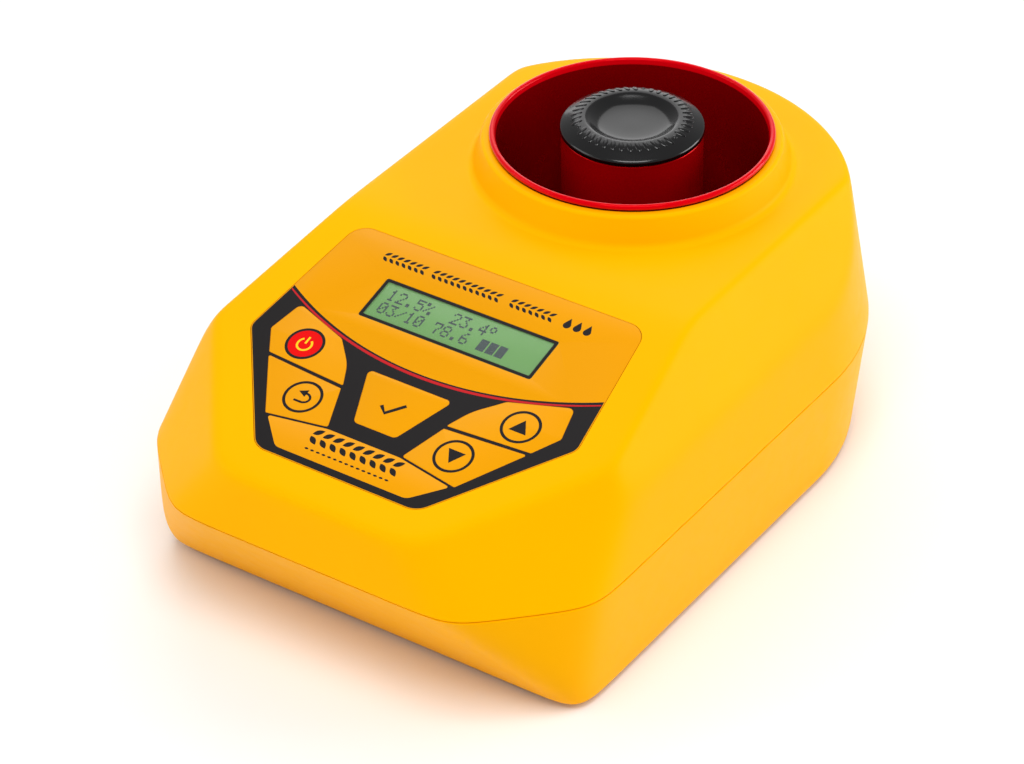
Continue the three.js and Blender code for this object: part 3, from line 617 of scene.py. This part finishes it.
def brushed_metal(name, colour, roughness):
    """Plated metal with fine scratches along one direction."""
    material = new_material(name, colour, roughness, Metallic=1.0)
    place = add_node(material, "ShaderNodeTexCoord")
    stretch = add_node(material, "ShaderNodeMapping")
    stretch.inputs["Scale"].default_value = (1, 14, 1)
    scratches = add_node(material, "ShaderNodeTexNoise", Scale=900, Detail=5)
    material.node_tree.links.new(place.outputs["Object"], stretch.inputs["Vector"])
    material.node_tree.links.new(stretch.outputs["Vector"], scratches.inputs["Vector"])
    vary(material, scratches.outputs["Fac"], "Roughness", roughness * 0.7, roughness * 1.3)
    vary(material, noise(material, 120, 3), "Base Color", shade(colour, 0.85), colour)
    roughen(material, scratches.outputs["Fac"], 0.25, 0.01)
    return material


steel = brushed_metal("steel", srgb(190, 192, 196), 0.32)
contact_metal = brushed_metal("contact_metal", srgb(215, 205, 175), 0.28)


def banded(name, dark, light, bands, roughness, direction="X"):
    """Stripes along one axis, such as copper tracks under solder mask or the wires of a ribbon cable."""
    material = new_material(name, light, roughness)
    place = add_node(material, "ShaderNodeTexCoord")
    stripes = add_node(material, "ShaderNodeTexWave", Scale=bands, Distortion=1.5)
    stripes.bands_direction = direction
    material.node_tree.links.new(place.outputs["Object"], stripes.inputs["Vector"])
    vary(material, stripes.outputs["Fac"], "Base Color", dark, light)
    roughen(material, stripes.outputs["Fac"], 0.4, 0.05)
    return material


circuit_board = banded("circuit_board", srgb(8, 62, 34), srgb(20, 104, 58), 160, 0.35)
ribbon_grey = banded("ribbon_grey", srgb(110, 112, 118), srgb(168, 170, 176), 250, 0.5)

# ---------------------------------------------------------------- top cover

REBATE_Z = SPLIT_Z + 2.1
REBATE_INSET = 1.3
SEAM_EDGE = 0.35


def seam_edge(face_z, way):
    """Rows that round the outer edge of a shell at the parting line, from the face to the wall."""
    return [
        wall_ring(face_z, SEAM_EDGE),
        wall_ring(face_z + way * 0.1, 0.1),
        wall_ring(face_z + way * SEAM_EDGE),
    ]


def collar_rows():
    """A small fillet, a steep skirt, a rounded rim and the upper edge of the bore."""
    rows = []
    foot_z = top_height(COLLAR_FOOT_R)
    (low_r, low_z), (high_r, high_z) = COLLAR_SKIRT
    bend_r = low_r + (high_r - low_r) * (foot_z - low_z) / (high_z - low_z)
    for share in np.linspace(0, 1, 11)[1:]:
        rest = 1 - share
        radius = rest ** 2 * COLLAR_FOOT_R + 2 * rest * share * bend_r + share ** 2 * low_r
        rows.append(ring(radius, (1 - share ** 2) * foot_z + share ** 2 * low_z))
    rim = corner_arc((high_r, COLLAR_TOP_Z), COLLAR_RIM_RADIUS, 17, 90, 8)
    rim += arc((COLLAR_BORE_R + BORE_EDGE, COLLAR_TOP_Z - BORE_EDGE), (BORE_EDGE, BORE_EDGE), 90, 180, 4)
    rim += [(COLLAR_BORE_R, COLLAR_TOP_Z - COLLAR_BORE_DEPTH)]
    return rows + [ring(radius, height) for radius, height in rim]


OVERLAY = rounded(OVERLAY_RIGHT + mirrored(OVERLAY_RIGHT), 10)
KEY_HOLE_R = 3.6
DISPLAY_OPENING = (72.1, 25.2)
# How far the tools that cut the panel reach, from the panel plane.
RECESS_TOOL_TOP = 6
OPENING_TOOL = (-6, 1)
KEY_HOLE_TOOL = (-8, 1)
OUTER_ROWS = 108
INNER_ROWS = 18


def make_top_cover():
    face_z = SPLIT_Z + SPLIT_GAP / 2
    rows = seam_edge(face_z, 1)
    rows += surface_rows(face_z + 2 * SEAM_EDGE, COLLAR_FOOT_R, OUTER_ROWS, 0, True)
    rows += collar_rows()
    rows += reversed(surface_rows(REBATE_Z, COLLAR_BORE_R, INNER_ROWS, WALL, True))
    rows += [wall_ring(REBATE_Z, REBATE_INSET), wall_ring(face_z, REBATE_INSET)]
    cover = new_mesh_object("top_cover_shell", [(*swept(rows, closed=True), 0)])
    recess = plate(offset(OVERLAY, FILM_GAP), -RECESS_DEPTH, RECESS_TOOL_TOP)
    combine(cover, new_mesh_object("recess_tool", [(*recess, 0)], on_panel), "DIFFERENCE")
    opening = plate(rectangle(*DISPLAY_OPENING, (0, LCD_V)), *OPENING_TOOL)
    holes = [rod(KEY_HOLE_R, *KEY_HOLE_TOOL, centre, 24) for centre in KEY_CENTRES.values()]
    tools = [(*shape, 0) for shape in [opening] + holes]
    combine(cover, new_mesh_object("opening_tool", tools, on_panel), "DIFFERENCE")
    return finish_piece(cover, [housing_yellow], nodes=["top_cover"])


make_top_cover()

# ---------------------------------------------------------------- base

TONGUE_INSET = 1.6
TONGUE_TOP_Z = SPLIT_Z + 1.7
DOOR_GAP = 0.3
DOOR_TRAVEL = 10
DOOR_RECESS_TOP = 2.3
COUNTERBORE_R = 4.2
COUNTERBORE_Z = 5
TOOL_LOW = -5
BASE_INNER_ROWS = 22
FEET = ["foot_front_right", "foot_front_left", "foot_rear_right", "foot_rear_left"]
BASE_SCREWS = [f"housing_screw_{i}" for i in (1, 2, 3, 4)] + [f"cup_screw_{i}" for i in (1, 2, 3)]


def node_centre(node):
    low, high = layout_box(node)
    return (low.x + high.x) / 2, (low.y + high.y) / 2


def base_outer_rows(top_z):
    """Rows from the middle of the underside and up the wall, close together at the edge between them."""
    heights = [*np.geomspace(0.02, 5, 24), *np.linspace(5, top_z, 24)[1:]]
    walls = [wall_ring(height) for height in heights]
    flats = [walls[0] * (share, share, 0) for share in (0.25, 0.5, 0.75, 0.95)]
    return [np.array([[0, 0, 0]])] + flats + walls


def make_base():
    face_z = SPLIT_Z - SPLIT_GAP / 2
    inner = surface_rows(face_z - 2, 0, BASE_INNER_ROWS, WALL, False)
    rows = base_outer_rows(face_z - 2 * SEAM_EDGE)
    rows += reversed(seam_edge(face_z, -1))
    rows += [wall_ring(face_z, TONGUE_INSET), wall_ring(TONGUE_TOP_Z, TONGUE_INSET)]
    rows += [wall_ring(TONGUE_TOP_Z, WALL)]
    rows += inner[:-1] + [np.array([[0, 0, WALL]])]
    base = new_mesh_object("base_shell", [(*swept(rows), 0)])
    low, high = layout_box("battery_door")
    centre = ((low.x + high.x) / 2, (low.y + high.y + DOOR_TRAVEL) / 2)
    width, length = high.x - low.x + 2 * DOOR_GAP, high.y - low.y + DOOR_TRAVEL + 2 * DOOR_GAP
    tools = [(*plate(rectangle(width, length, centre, 1.5), TOOL_LOW, DOOR_RECESS_TOP), 0)]
    for node in BASE_SCREWS:
        tools.append((*rod(COUNTERBORE_R, TOOL_LOW, COUNTERBORE_Z, node_centre(node)), 0))
    for node in FEET:
        foot_low, foot_high = layout_box(node)
        radius = (foot_high.x - foot_low.x) / 2 + 0.3
        tools.append((*rod(radius, TOOL_LOW, foot_high.z + 0.2, node_centre(node)), 0))
    combine(base, new_mesh_object("base_tool", tools), "DIFFERENCE")
    return finish_piece(base, [housing_yellow], nodes=["base"])


make_base()

# ---------------------------------------------------------------- control panel film

FILM_EDGE = 0.06
KEY_OPENING_GAP = 0.04
KEY_INSET = 0.05
# The straight stretch of the film's side edge lies beyond this u and runs through this span of v.
SIDE_EDGE_U = 50
SIDE_EDGE_SPAN = (-12, -5)


def arc_v(u):
    """The height of the upper edge of the dark band, an arc that sags in the middle."""
    return ARC_CENTRE_V - math.sqrt(ARC_R ** 2 - u ** 2)


def red_line(half_width):
    """A line under the edge of the dark band, which thins towards both ends."""
    strip = []
    for way in (1, -1):
        for k in range(49):
            u = way * half_width * (2 * k / 48 - 1)
            drop = 0.6 + 0.5 * (u / half_width) ** 2 if way > 0 else 1.65
            strip.append((u, ARC_CENTRE_V - math.sqrt((ARC_R + drop) ** 2 - u ** 2)))
    return strip


def dark_band():
    """The part of the film outline under the arc."""
    inner = offset(OVERLAY, -0.3)
    below = [tuple(point) for point in inner if point[1] < arc_v(point[0])]
    right = max(below, key=lambda point: point[0] * 1000 + point[1])
    edge = [point for point in inner if point[0] > SIDE_EDGE_U]
    lower = max([p for p in edge if p[1] < SIDE_EDGE_SPAN[0]], key=lambda p: p[1])
    upper = min([p for p in edge if p[1] > SIDE_EDGE_SPAN[1]], key=lambda p: p[1])
    u = right[0]
    for _ in range(8):
        share = (arc_v(u) - lower[1]) / (upper[1] - lower[1])
        u = lower[0] + share * (upper[0] - lower[0])
    across = [(u * (1 - 2 * k / 64), arc_v(u * (1 - 2 * k / 64))) for k in range(65)]
    start = below.index(max(below, key=lambda point: (point[0] < 0, point[1])))
    return across + below[start:] + below[:start], u


FIELDS = {
    "power": rounded(mirrored(UPPER_FIELD)),
    "cancel": rounded(mirrored(LOWER_FIELD)),
    "ok": rounded(OK_FIELD),
    "up": rounded(UPPER_FIELD),
    "down": rounded(LOWER_FIELD),
}
LABEL_FIELD = rounded(LABEL_RIGHT + mirrored(LABEL_RIGHT))


def kernel(centre, length, width, tilt):
    """The outline of one grain, pointed at both ends."""
    outline = []
    for way in (1, -1):
        for k in range(10):
            along = way * (1 - 2 * k / 10)
            across = way * (1 - along ** 2) * (1 - 0.15 * along)
            outline.append((along * length / 2, across * width / 2))
    turn = Matrix.Rotation(tilt, 2)
    return [tuple(turn @ Vector(point) + Vector(centre)) for point in outline]


def ear(start, end, v, length, width, pitch):
    """Pairs of grains that lean away from a level stem."""
    outlines = []
    count = max(1, round((end - start - length) / pitch) + 1)
    lean = math.radians(38)
    for k in range(count):
        u = start + length / 2 + k * pitch
        for way in (1, -1):
            rise = way * (length / 2 * math.sin(lean) + 0.12 * length)
            outlines.append(kernel((u, v + rise), length, width, way * lean))
    return outlines


def droplet(centre, size):
    """A water drop outline."""
    outline = arc(centre, (size, size), 150, 390, 24)
    return outline + [(centre[0], centre[1] + 2.3 * size)]


def title_strip():
    """Three short ears and three drops, in place of a title."""
    outlines = []
    for start, end in ((-40.6, -23.8), (-21.3, 6.5), (9.1, 27.6)):
        outlines += ear(start, end, 13.8, 2.7, 1.15, 2.45)
    outlines += [droplet((u, 13.0), 1.35) for u in (31.6, 35.4, 39.2)]
    return outlines


def label_ornament():
    """A long ear over a row of small grains."""
    outlines = ear(-17.5, 17.5, -61.2, 4.1, 1.9, 3.85)
    for k in range(15):
        outlines.append(kernel((-15.4 + 2.2 * k, -66.6), 1.6, 0.75, 0))
    return outlines


def make_film():
    width, height = [side + 2 * WINDOW_BORDER + 0.1 for side in LCD_VIEW]
    window = rectangle(width, height, (0, LCD_V), 0.9)
    key_holes = [offset(field, KEY_OPENING_GAP) for field in FIELDS.values()]
    shells = [(*plate(OVERLAY, -FILM_THICKNESS, 0, [window] + key_holes, FILM_EDGE), 0)]
    band, half_width = dark_band()
    shells.append((*plate(band, 0, INK, key_holes + [LABEL_FIELD]), 1))
    shells.append((*plate(red_line(half_width - 0.1), INK, 2 * INK), 2))
    for outline in title_strip() + label_ornament():
        shells.append((*plate(outline, 0, INK), 1))
    film = new_mesh_object("overlay_film_sheet", shells, on_panel)
    return finish_piece(film, [film_amber, ink_black, ink_red], nodes=["panel_overlay"])


make_film()

# ---------------------------------------------------------------- keys


def ring_plate(centre, outer, inner, low, high):
    return plate(circle(centre, outer), low, high, [circle(centre, inner)])


def stroke(points, width):
    """A line of even width through some points, with flat ends."""
    line = [Vector(point) for point in points]
    left, right = [], []
    for i, point in enumerate(line):
        along = (line[min(i + 1, len(line) - 1)] - line[max(i - 1, 0)]).normalized()
        normal = Vector((-along.y, along.x)) * width / 2
        left.append(tuple(point + normal))
        right.append(tuple(point - normal))
    return left + right[::-1]


def power_symbol(centre):
    """A broken ring with an upright bar in its gap."""
    u, v = centre
    ring_arc = stroke(arc((u, v - 0.3), (2.5, 2.5), 125, 415, 32), 0.75)
    return [ring_arc, stroke([(u, v + 0.1), (u, v + 3.1)], 0.75)]


def return_symbol(centre):
    """An arrow that turns back."""
    u, v = centre
    bow = stroke(arc((u + 0.4, v - 0.2), (2.3, 1.9), -100, 100, 20), 0.8)
    tail = stroke([(u + 0.4, v - 2.1), (u - 2.2, v - 2.1)], 0.8)
    head = [(u + 0.4, v + 3.2), (u + 0.4, v + 0.2), (u - 2.6, v + 1.7)]
    return [bow, tail, head]


def tick_symbol(centre):
    u, v = centre
    return [stroke([(u - 3.8, v - 1.2), (u - 1.1, v - 3.6), (u + 3.8, v + 1.8)], 1.25)]


def arrow_symbol(centre, way):
    u, v = centre
    return [[(u - 3.2, v - 2.3 * way), (u + 3.2, v - 2.3 * way), (u, v + 3 * way)]]


SYMBOLS = {
    "power": power_symbol,
    "cancel": return_symbol,
    "ok": tick_symbol,
    "up": lambda centre: arrow_symbol(centre, 1),
    "down": lambda centre: arrow_symbol(centre, -1),
}
PLUNGER_R = 3
PLUNGER_LENGTH = 3.4


def make_key(name):
    centre = KEY_CENTRES[name]
    field = offset(FIELDS[name], -KEY_INSET)
    symbol_ink = 3 if name == "power" else 1
    shells = [(*plate(field, -FILM_THICKNESS, 0, [], FILM_EDGE), 0)]
    plunger = [(0, -PLUNGER_LENGTH), (PLUNGER_R - 0.4, -PLUNGER_LENGTH), (PLUNGER_R, -PLUNGER_LENGTH + 0.4)]
    plunger += [(PLUNGER_R, -FILM_THICKNESS), (0, -FILM_THICKNESS)]
    shells.append((*turned(plunger, 48, centre), 0))
    if name == "power":
        shells.append((*plate(circle(centre, KEY_RING_R - 0.5), 0, INK), 2))
    if name != "ok":
        shells.append((*ring_plate(centre, KEY_RING_R, KEY_RING_R - 1, 0, 1.5 * INK), 1))
    for outline in SYMBOLS[name](centre):
        shells.append((*plate(outline, INK / 2, 2 * INK), symbol_ink))
    key = new_mesh_object(f"{name}_key_pad", shells, on_panel)
    inks = [film_amber, ink_black, key_red, ink_yellow]
    return finish_piece(key, inks, f"{name}_key", [f"{name}_key"])


for key_name in KEY_CENTRES:
    make_key(key_name)

# ---------------------------------------------------------------- display

# Characters of five by seven dots, each row of dots from the top.
GLYPHS = {
    "0": "01110 10001 10011 10101 11001 10001 01110",
    "1": "00100 01100 00100 00100 00100 00100 01110",
    "2": "01110 10001 00001 00010 00100 01000 11111",
    "3": "11111 00010 00100 00010 00001 10001 01110",
    "4": "00010 00110 01010 10010 11111 00010 00010",
    "5": "11111 10000 11110 00001 00001 10001 01110",
    "6": "00110 01000 10000 11110 10001 10001 01110",
    "7": "11111 10001 00001 00010 00100 00100 00100",
    "8": "01110 10001 10001 01110 10001 10001 01110",
    ".": "00000 00000 00000 00000 00000 01100 01100",
    "%": "11000 11001 00010 00100 01000 10011 00011",
    "/": "00000 00001 00010 00100 01000 10000 00000",
    "*": "01100 10010 10010 01100 00000 00000 00000",
    "#": "11111 11111 11111 11111 11111 11111 11111",
}
SCREEN_TEXT = ["12.5%  23.4*", "03/10 78.6 ###"]
DOT_PITCH = (0.6, 0.7)
DOT_SIZE = (0.6, 0.69)
CHARACTER_PITCH = (3.55, 5.95)
FIRST_DOT = (-28.9, 2.3)
GLASS_LOW = -3.4
SCREEN_LOW, SCREEN_HIGH = -1.56, -0.3
WINDOW_THICKNESS = 0.22


def screen_dots():
    first_u, first_v = FIRST_DOT
    centres = []
    for row, text in enumerate(SCREEN_TEXT):
        for column, character in enumerate(text):
            for j, dots in enumerate(GLYPHS.get(character, "").split()):
                for i, dot in enumerate(dots):
                    if dot == "1":
                        u = first_u + column * CHARACTER_PITCH[0] + i * DOT_PITCH[0]
                        centres.append((u, first_v - row * CHARACTER_PITCH[1] - j * DOT_PITCH[1]))
    return centres


def make_display():
    width, height = LCD_VIEW
    sheet = rectangle(width + 2 * WINDOW_BORDER - 0.1, height + 2 * WINDOW_BORDER - 0.1, (0, LCD_V))
    glass = rectangle(width, height + 0.3, (0, LCD_V))
    shells = [(*plate(glass, GLASS_LOW, SCREEN_LOW - 0.05), 0)]
    shells.append((*plate(sheet, SCREEN_LOW, SCREEN_HIGH, [], 0.05), 0))
    for centre in screen_dots():
        shells.append((*plate(rectangle(*DOT_SIZE, centre), SCREEN_HIGH, SCREEN_HIGH + INK), 1))
    display = new_mesh_object("display_screen", shells, on_panel)
    finish_piece(display, [display_green, display_dot], nodes=["lcd_glass"])
    border = rectangle(width + 2 * WINDOW_BORDER, height + 2 * WINDOW_BORDER, (0, LCD_V), 0.8)
    clear = rectangle(width, height, (0, LCD_V), 0.3)
    shells = [(*plate(border, -WINDOW_THICKNESS, 0, [], FILM_EDGE), 0)]
    shells.append((*plate(offset(border, -0.08), 0, INK, [clear]), 1))
    window = new_mesh_object("display_window", shells, on_panel)
    finish_piece(window, [window_clear, ink_black], nodes=["lcd_window"])


make_display()

# ---------------------------------------------------------------- measuring cell


def make_cup():
    top = layout_box("measuring_cup")[1].z
    bead = (CUP_BORE_R + LIP_BEAD_R + 0.3, top - LIP_BEAD_R)
    profile = [(PEDESTAL_R + 0.3, CUP_BASE_Z), (CUP_R - 0.6, CUP_BASE_Z), (CUP_R, CUP_BASE_Z + 0.6)]
    profile += [(CUP_R, 60), (CUP_R, bead[1] - 0.95)]
    profile += arc(bead, (LIP_BEAD_R, LIP_BEAD_R), -75, 180, 20)
    profile += [(CUP_BORE_R + 0.08, bead[1] - 0.4), (CUP_BORE_R, bead[1] - 1)]
    profile += [(CUP_BORE_R, 80), (CUP_BORE_R, 55)]
    profile += arc((CUP_BORE_R - 1.5, CUP_FLOOR_Z + 1.5), (1.5, 1.5), 0, -90, 6)
    profile += [(PEDESTAL_R + 0.6, CUP_FLOOR_Z), (PEDESTAL_R + 0.3, CUP_FLOOR_Z - 0.3)]
    cup = new_mesh_object("sample_cup", [(*turned(profile, 256, closed=True), 0)])
    tool = rod(PROBE_HOLE_R, CUP_BASE_Z - 4.5, CUP_FLOOR_Z + 10.5, node_centre("temperature_probe"), 32)
    combine(cup, new_mesh_object("probe_tool", [(*tool, 0)]), "DIFFERENCE")
    # Faces above the lip's underside take the bright lip red. The rest of the cup takes the darker red,
    # which is painted shade for the cup's inside.
    lip_z = LAYOUT_ORIGIN.z + (bead[1] - LIP_BEAD_R) * MM
    on_lip = [int(face.center.z > lip_z) for face in cup.data.polygons]
    cup.data.polygons.foreach_set("material_index", on_lip)
    return finish_piece(cup, [cell_red, lip_red], nodes=["measuring_cup"])


def make_post():
    low, high = layout_box("centre_post")
    radius = (high.x - low.x) / 2
    bore = radius - 2
    profile = [(bore, low.z), (radius - 0.3, low.z), (radius, low.z + 0.3), (radius, 60)]
    profile += arc((radius - 0.6, high.z - 0.6), (0.6, 0.6), 0, 90, 5)
    profile += [(bore, high.z), (bore, 60)]
    post = new_mesh_object("centre_post_tube", [(*turned(profile, 192, closed=True), 0)])
    return finish_piece(post, [post_red], nodes=["centre_post"])


def make_cap():
    """A black cap: a domed ring around a bowl, with raised grains on the dome."""
    low, high = layout_box("post_cap")
    radius = (high.x - low.x) / 2
    post_top = layout_box("centre_post")[1].z
    spigot_r = radius - 2.7
    profile = [(0, CAP_BOLT_TOP_Z), (CAP_BOLT_R, CAP_BOLT_TOP_Z), (CAP_BOLT_R, low.z)]
    profile += [(CAP_BOSS_R - 0.6, low.z), (CAP_BOSS_R, low.z + 0.6), (CAP_BOSS_R, CAP_SPIGOT_Z)]
    profile += [(spigot_r - 0.5, CAP_SPIGOT_Z), (spigot_r, CAP_SPIGOT_Z + 0.5), (spigot_r, post_top + 0.3)]
    profile += [(radius - 0.15, post_top + 0.3), (radius, post_top + 0.5)]
    profile += arc((radius - CAP_EDGE_R, post_top + 1.3), (CAP_EDGE_R, CAP_EDGE_R), 0, 62, 6)
    knots = [(*profile[-1], -0.53)] + [(r, high.z - depth, slope) for r, depth, slope in CAP_BOWL]
    profile += smooth_curve(knots, 12)[1:]
    cap = new_mesh_object("post_cap_disc", [(*turned(profile, 192), 0)])
    combine(cap, new_mesh_object("grain_tool", raised_grains(profile)), "UNION")
    return finish_piece(cap, [cap_black], nodes=["post_cap"])


def smooth_curve(knots, steps):
    """Points along cubic pieces between (radius, height, slope) knots."""
    points = []
    for (r0, z0, slope0), (r1, z1, slope1) in zip(knots, knots[1:]):
        span = r1 - r0
        for k in range(0 if not points else 1, steps + 1):
            t = k / steps
            start, end = (1 + 2 * t) * (1 - t) ** 2, t * t * (3 - 2 * t)
            height = start * z0 + end * z1 + span * (t * (1 - t) ** 2 * slope0 - t * t * (1 - t) * slope1)
            points.append((r0 + span * t, height))
    return points


def raised_grains(profile):
    """Low grains that stand around the dome, with a round pearl after every group."""
    shells = []
    dome = [point for point in profile if point[0] > DOME_INNER_R and point[1] > DOME_LOW_Z]
    radii, heights = zip(*sorted(dome))
    height = np.interp(GRAIN_RING_R, radii, heights)
    slope = np.interp(GRAIN_RING_R + 1, radii, heights) - np.interp(GRAIN_RING_R - 1, radii, heights)
    fall = Matrix.Rotation(-math.atan(slope / 2), 3, "Y")
    for k in range(GRAIN_COUNT):
        pearl = k % GRAIN_GROUP == GRAIN_GROUP - 1
        length, width, lean = PEARL_SHAPE if pearl else GRAIN_SHAPE
        points, faces = turned([(0, -0.6)] + arc((0, 0), (1, 0.3), -40, 90, 6)[:-1] + [(0, 0.3)], 20)
        angle = 2 * math.pi * k / GRAIN_COUNT
        turn = np.array(Matrix.Rotation(angle, 3, "Z") @ fall @ Matrix.Rotation(lean, 3, "Z"))
        place = (GRAIN_RING_R * math.cos(angle), GRAIN_RING_R * math.sin(angle), height - 0.05)
        shells.append((np.asarray(points) * (length, width, 1) @ turn.T + place, faces, 0))
    return shells


def make_insulator():
    low, high = layout_box("cup_insulator")
    radius = (high.x - low.x) / 2
    step_z = CUP_BASE_Z - 0.3
    profile = [(0, low.z), (radius - 0.4, low.z), (radius, low.z + 0.4)]
    profile += [(radius, step_z), (PEDESTAL_R, step_z)]
    profile += [(PEDESTAL_R, high.z - 0.4), (PEDESTAL_R - 0.4, high.z), (0, high.z)]
    disc = new_mesh_object("insulating_disc", [(*turned(profile, 160), 0)])
    return finish_piece(disc, [insulating_plastic], nodes=["cup_insulator"])


make_cup()
make_post()
make_cap()
make_insulator()

# ---------------------------------------------------------------- underside

GROOVE_COUNT = 5
GROOVE_PITCH = 2.6
SHANK_R = 1.7
THREAD_DEPTH = 0.35
THREAD_TURNS = 12
CROSS_BARS = ((4.2, 0.9), (0.9, 4.2))


def make_foot(node):
    low, high = layout_box(node)
    radius = (high.x - low.x) / 2
    profile = [(0, low.z + 0.3), (radius - 2.2, low.z + 0.3), (radius - 1.8, low.z)]
    profile += arc((radius - 0.8, low.z + 0.8), (0.8, 0.8), -90, 0, 5)
    profile += [(radius, high.z - 0.2), (radius - 0.2, high.z), (0, high.z)]
    foot = new_mesh_object(f"{node}_pad", [(*turned(profile, 64, node_centre(node)), 0)])
    return finish_piece(foot, [foot_rubber], nodes=[node])


def make_door():
    low, high = layout_box("battery_door")
    size = (high.x - low.x, high.y - low.y)
    centre = node_centre("battery_door")
    points, faces = plate(rectangle(*size, centre, 1.4), -high.z, -low.z, [], 0.35)
    points = [(u, v, -w) for u, v, w in points]
    faces = [tuple(reversed(face)) for face in faces]
    door = new_mesh_object("battery_door_cover", [(points, faces, 0)])
    grooves = []
    for k in range(GROOVE_COUNT):
        groove = rectangle(22 - 2 * abs(k - 2), 1.2, (centre[0], high.y - 9 - GROOVE_PITCH * k), 0.55)
        grooves.append((*plate(groove, -1, low.z + 0.6), 0))
    arrow = [(centre[0] - 4, high.y - 28), (centre[0] + 4, high.y - 28), (centre[0], high.y - 23.4)]
    grooves.append((*plate(arrow, -1, low.z + 0.4), 0))
    combine(door, new_mesh_object("groove_tool", grooves), "DIFFERENCE")
    return finish_piece(door, [housing_yellow], "battery_door", ["battery_door"])


def make_base_screw(node):
    """A pan-head screw that points up, with a cross recess."""
    low, high = layout_box(node)
    centre = node_centre(node)
    radius = (high.x - low.x) / 2
    profile = [(0, low.z)] + arc((radius - 1, low.z + 1.1), (1, 1.1), -80, 0, 5)
    profile += [(radius, low.z + 2.2), (radius - 0.2, low.z + 2.4), (SHANK_R, low.z + 2.4)]
    for k in range(THREAD_TURNS):
        start = high.z - 14 + k
        profile += [(SHANK_R, start), (SHANK_R - THREAD_DEPTH, start + 0.5)]
    profile += [(SHANK_R, high.z - 1.6), (0, high.z)]
    screw = new_mesh_object(f"{node}_body", [(*turned(profile, 48, centre), 0)])
    for width, height in CROSS_BARS:
        bar = plate(rectangle(width, height, centre, 0.2), low.z - 1, low.z + 1.5 + 0.01 * width)
        combine(screw, new_mesh_object("cross_tool", [(*bar, 0)]), "DIFFERENCE")
    return finish_piece(screw, [steel], nodes=[node])


for foot_node in FEET:
    make_foot(foot_node)
make_door()
for screw_node in BASE_SCREWS:
    make_base_screw(screw_node)

# ---------------------------------------------------------------- inner pieces

# Pieces inside the housing keep their CAD shape, with softened edges and a finish of their own.
INNER_FINISHES = [
    (steel, "dome lcd_screw board_screw post_bolt temperature_probe"),
    (circuit_board, "switch_board lcd_board main_board"),
    (bezel_black, "lcd_bezel"),
    (chip_plastic, "processor buzzer"),
    (ribbon_grey, "lcd_ribbon switch_ribbon"),
    (insulating_plastic, "battery_holder"),
    (contact_metal, "battery_contact"),
    (cell_wrap, "battery_1 battery_2 battery_3 battery_4"),
]
INNER_BEVEL = 0.12


def finish_inner_pieces():
    for material, words in INNER_FINISHES:
        for name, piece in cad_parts.items():
            if piece.hide_render or not any(word in name for word in words.split()):
                continue
            piece.data.materials.clear()
            piece.data.materials.append(material)
            bevel = piece.modifiers.new("bevel", "BEVEL")
            bevel.width = INNER_BEVEL * MM
            bevel.segments = 2
            bevel.limit_method = "ANGLE"
            bevel.angle_limit = math.radians(40)


finish_inner_pieces()

# ---------------------------------------------------------------- stage and light

FLOOR_SIZE = 12
SKY_STRENGTH = 0.42
LAMP_TARGET = (0, 0, 0.05)
# Place in metres, power in watts, width and height in metres of each lamp.
LAMPS = {
    "top_light": ((0.36, -0.5, 1.46), 14.5, 0.9, 0.9),
    "right_rear_light": ((0.98, 0.9, 0.42), 8.5, 0.9, 0.6),
    "left_light": ((-1.07, -0.67, 0.8), 4, 0.8, 0.8),
    "front_light": ((-0.75, -1.25, 0.3), 1.2, 0.8, 0.8),
    "dish_light": ((-0.65, 0.93, 0.8), 5.5, 0.9, 1.6),
}


def make_floor():
    mesh = bpy.data.meshes.new("floor")
    half = FLOOR_SIZE / 2
    corners = [(x * half, y * half, cad_low.z) for x, y in ((-1, -1), (1, -1), (1, 1), (-1, 1))]
    mesh.from_pydata(corners, [], [(0, 1, 2, 3)])
    floor = bpy.data.objects.new("floor", mesh)
    bpy.context.scene.collection.objects.link(floor)
    mesh.materials.append(new_material("floor_white", (0.92, 0.92, 0.92, 1), 0.75))


def make_area_light(name, place, power, width, height):
    """A rectangular lamp at a place in metres that faces the object."""
    data = bpy.data.lights.new(name, "AREA")
    data.shape = "RECTANGLE"
    data.energy = power
    data.size = width
    data.size_y = height
    lamp = bpy.data.objects.new(name, data)
    lamp.location = place
    lamp.rotation_euler = (Vector(LAMP_TARGET) - Vector(place)).to_track_quat("-Z", "Y").to_euler()
    bpy.context.scene.collection.objects.link(lamp)


def light_scene():
    world = bpy.data.worlds.new("studio")
    world.use_nodes = True
    world.node_tree.nodes["Background"].inputs["Color"].default_value = (1, 1, 1, 1)
    world.node_tree.nodes["Background"].inputs["Strength"].default_value = SKY_STRENGTH
    bpy.context.scene.world = world
    for name, lamp in LAMPS.items():
        make_area_light(name, *lamp)
    bpy.context.scene.view_settings.view_transform = "Standard"


make_floor()
light_scene()
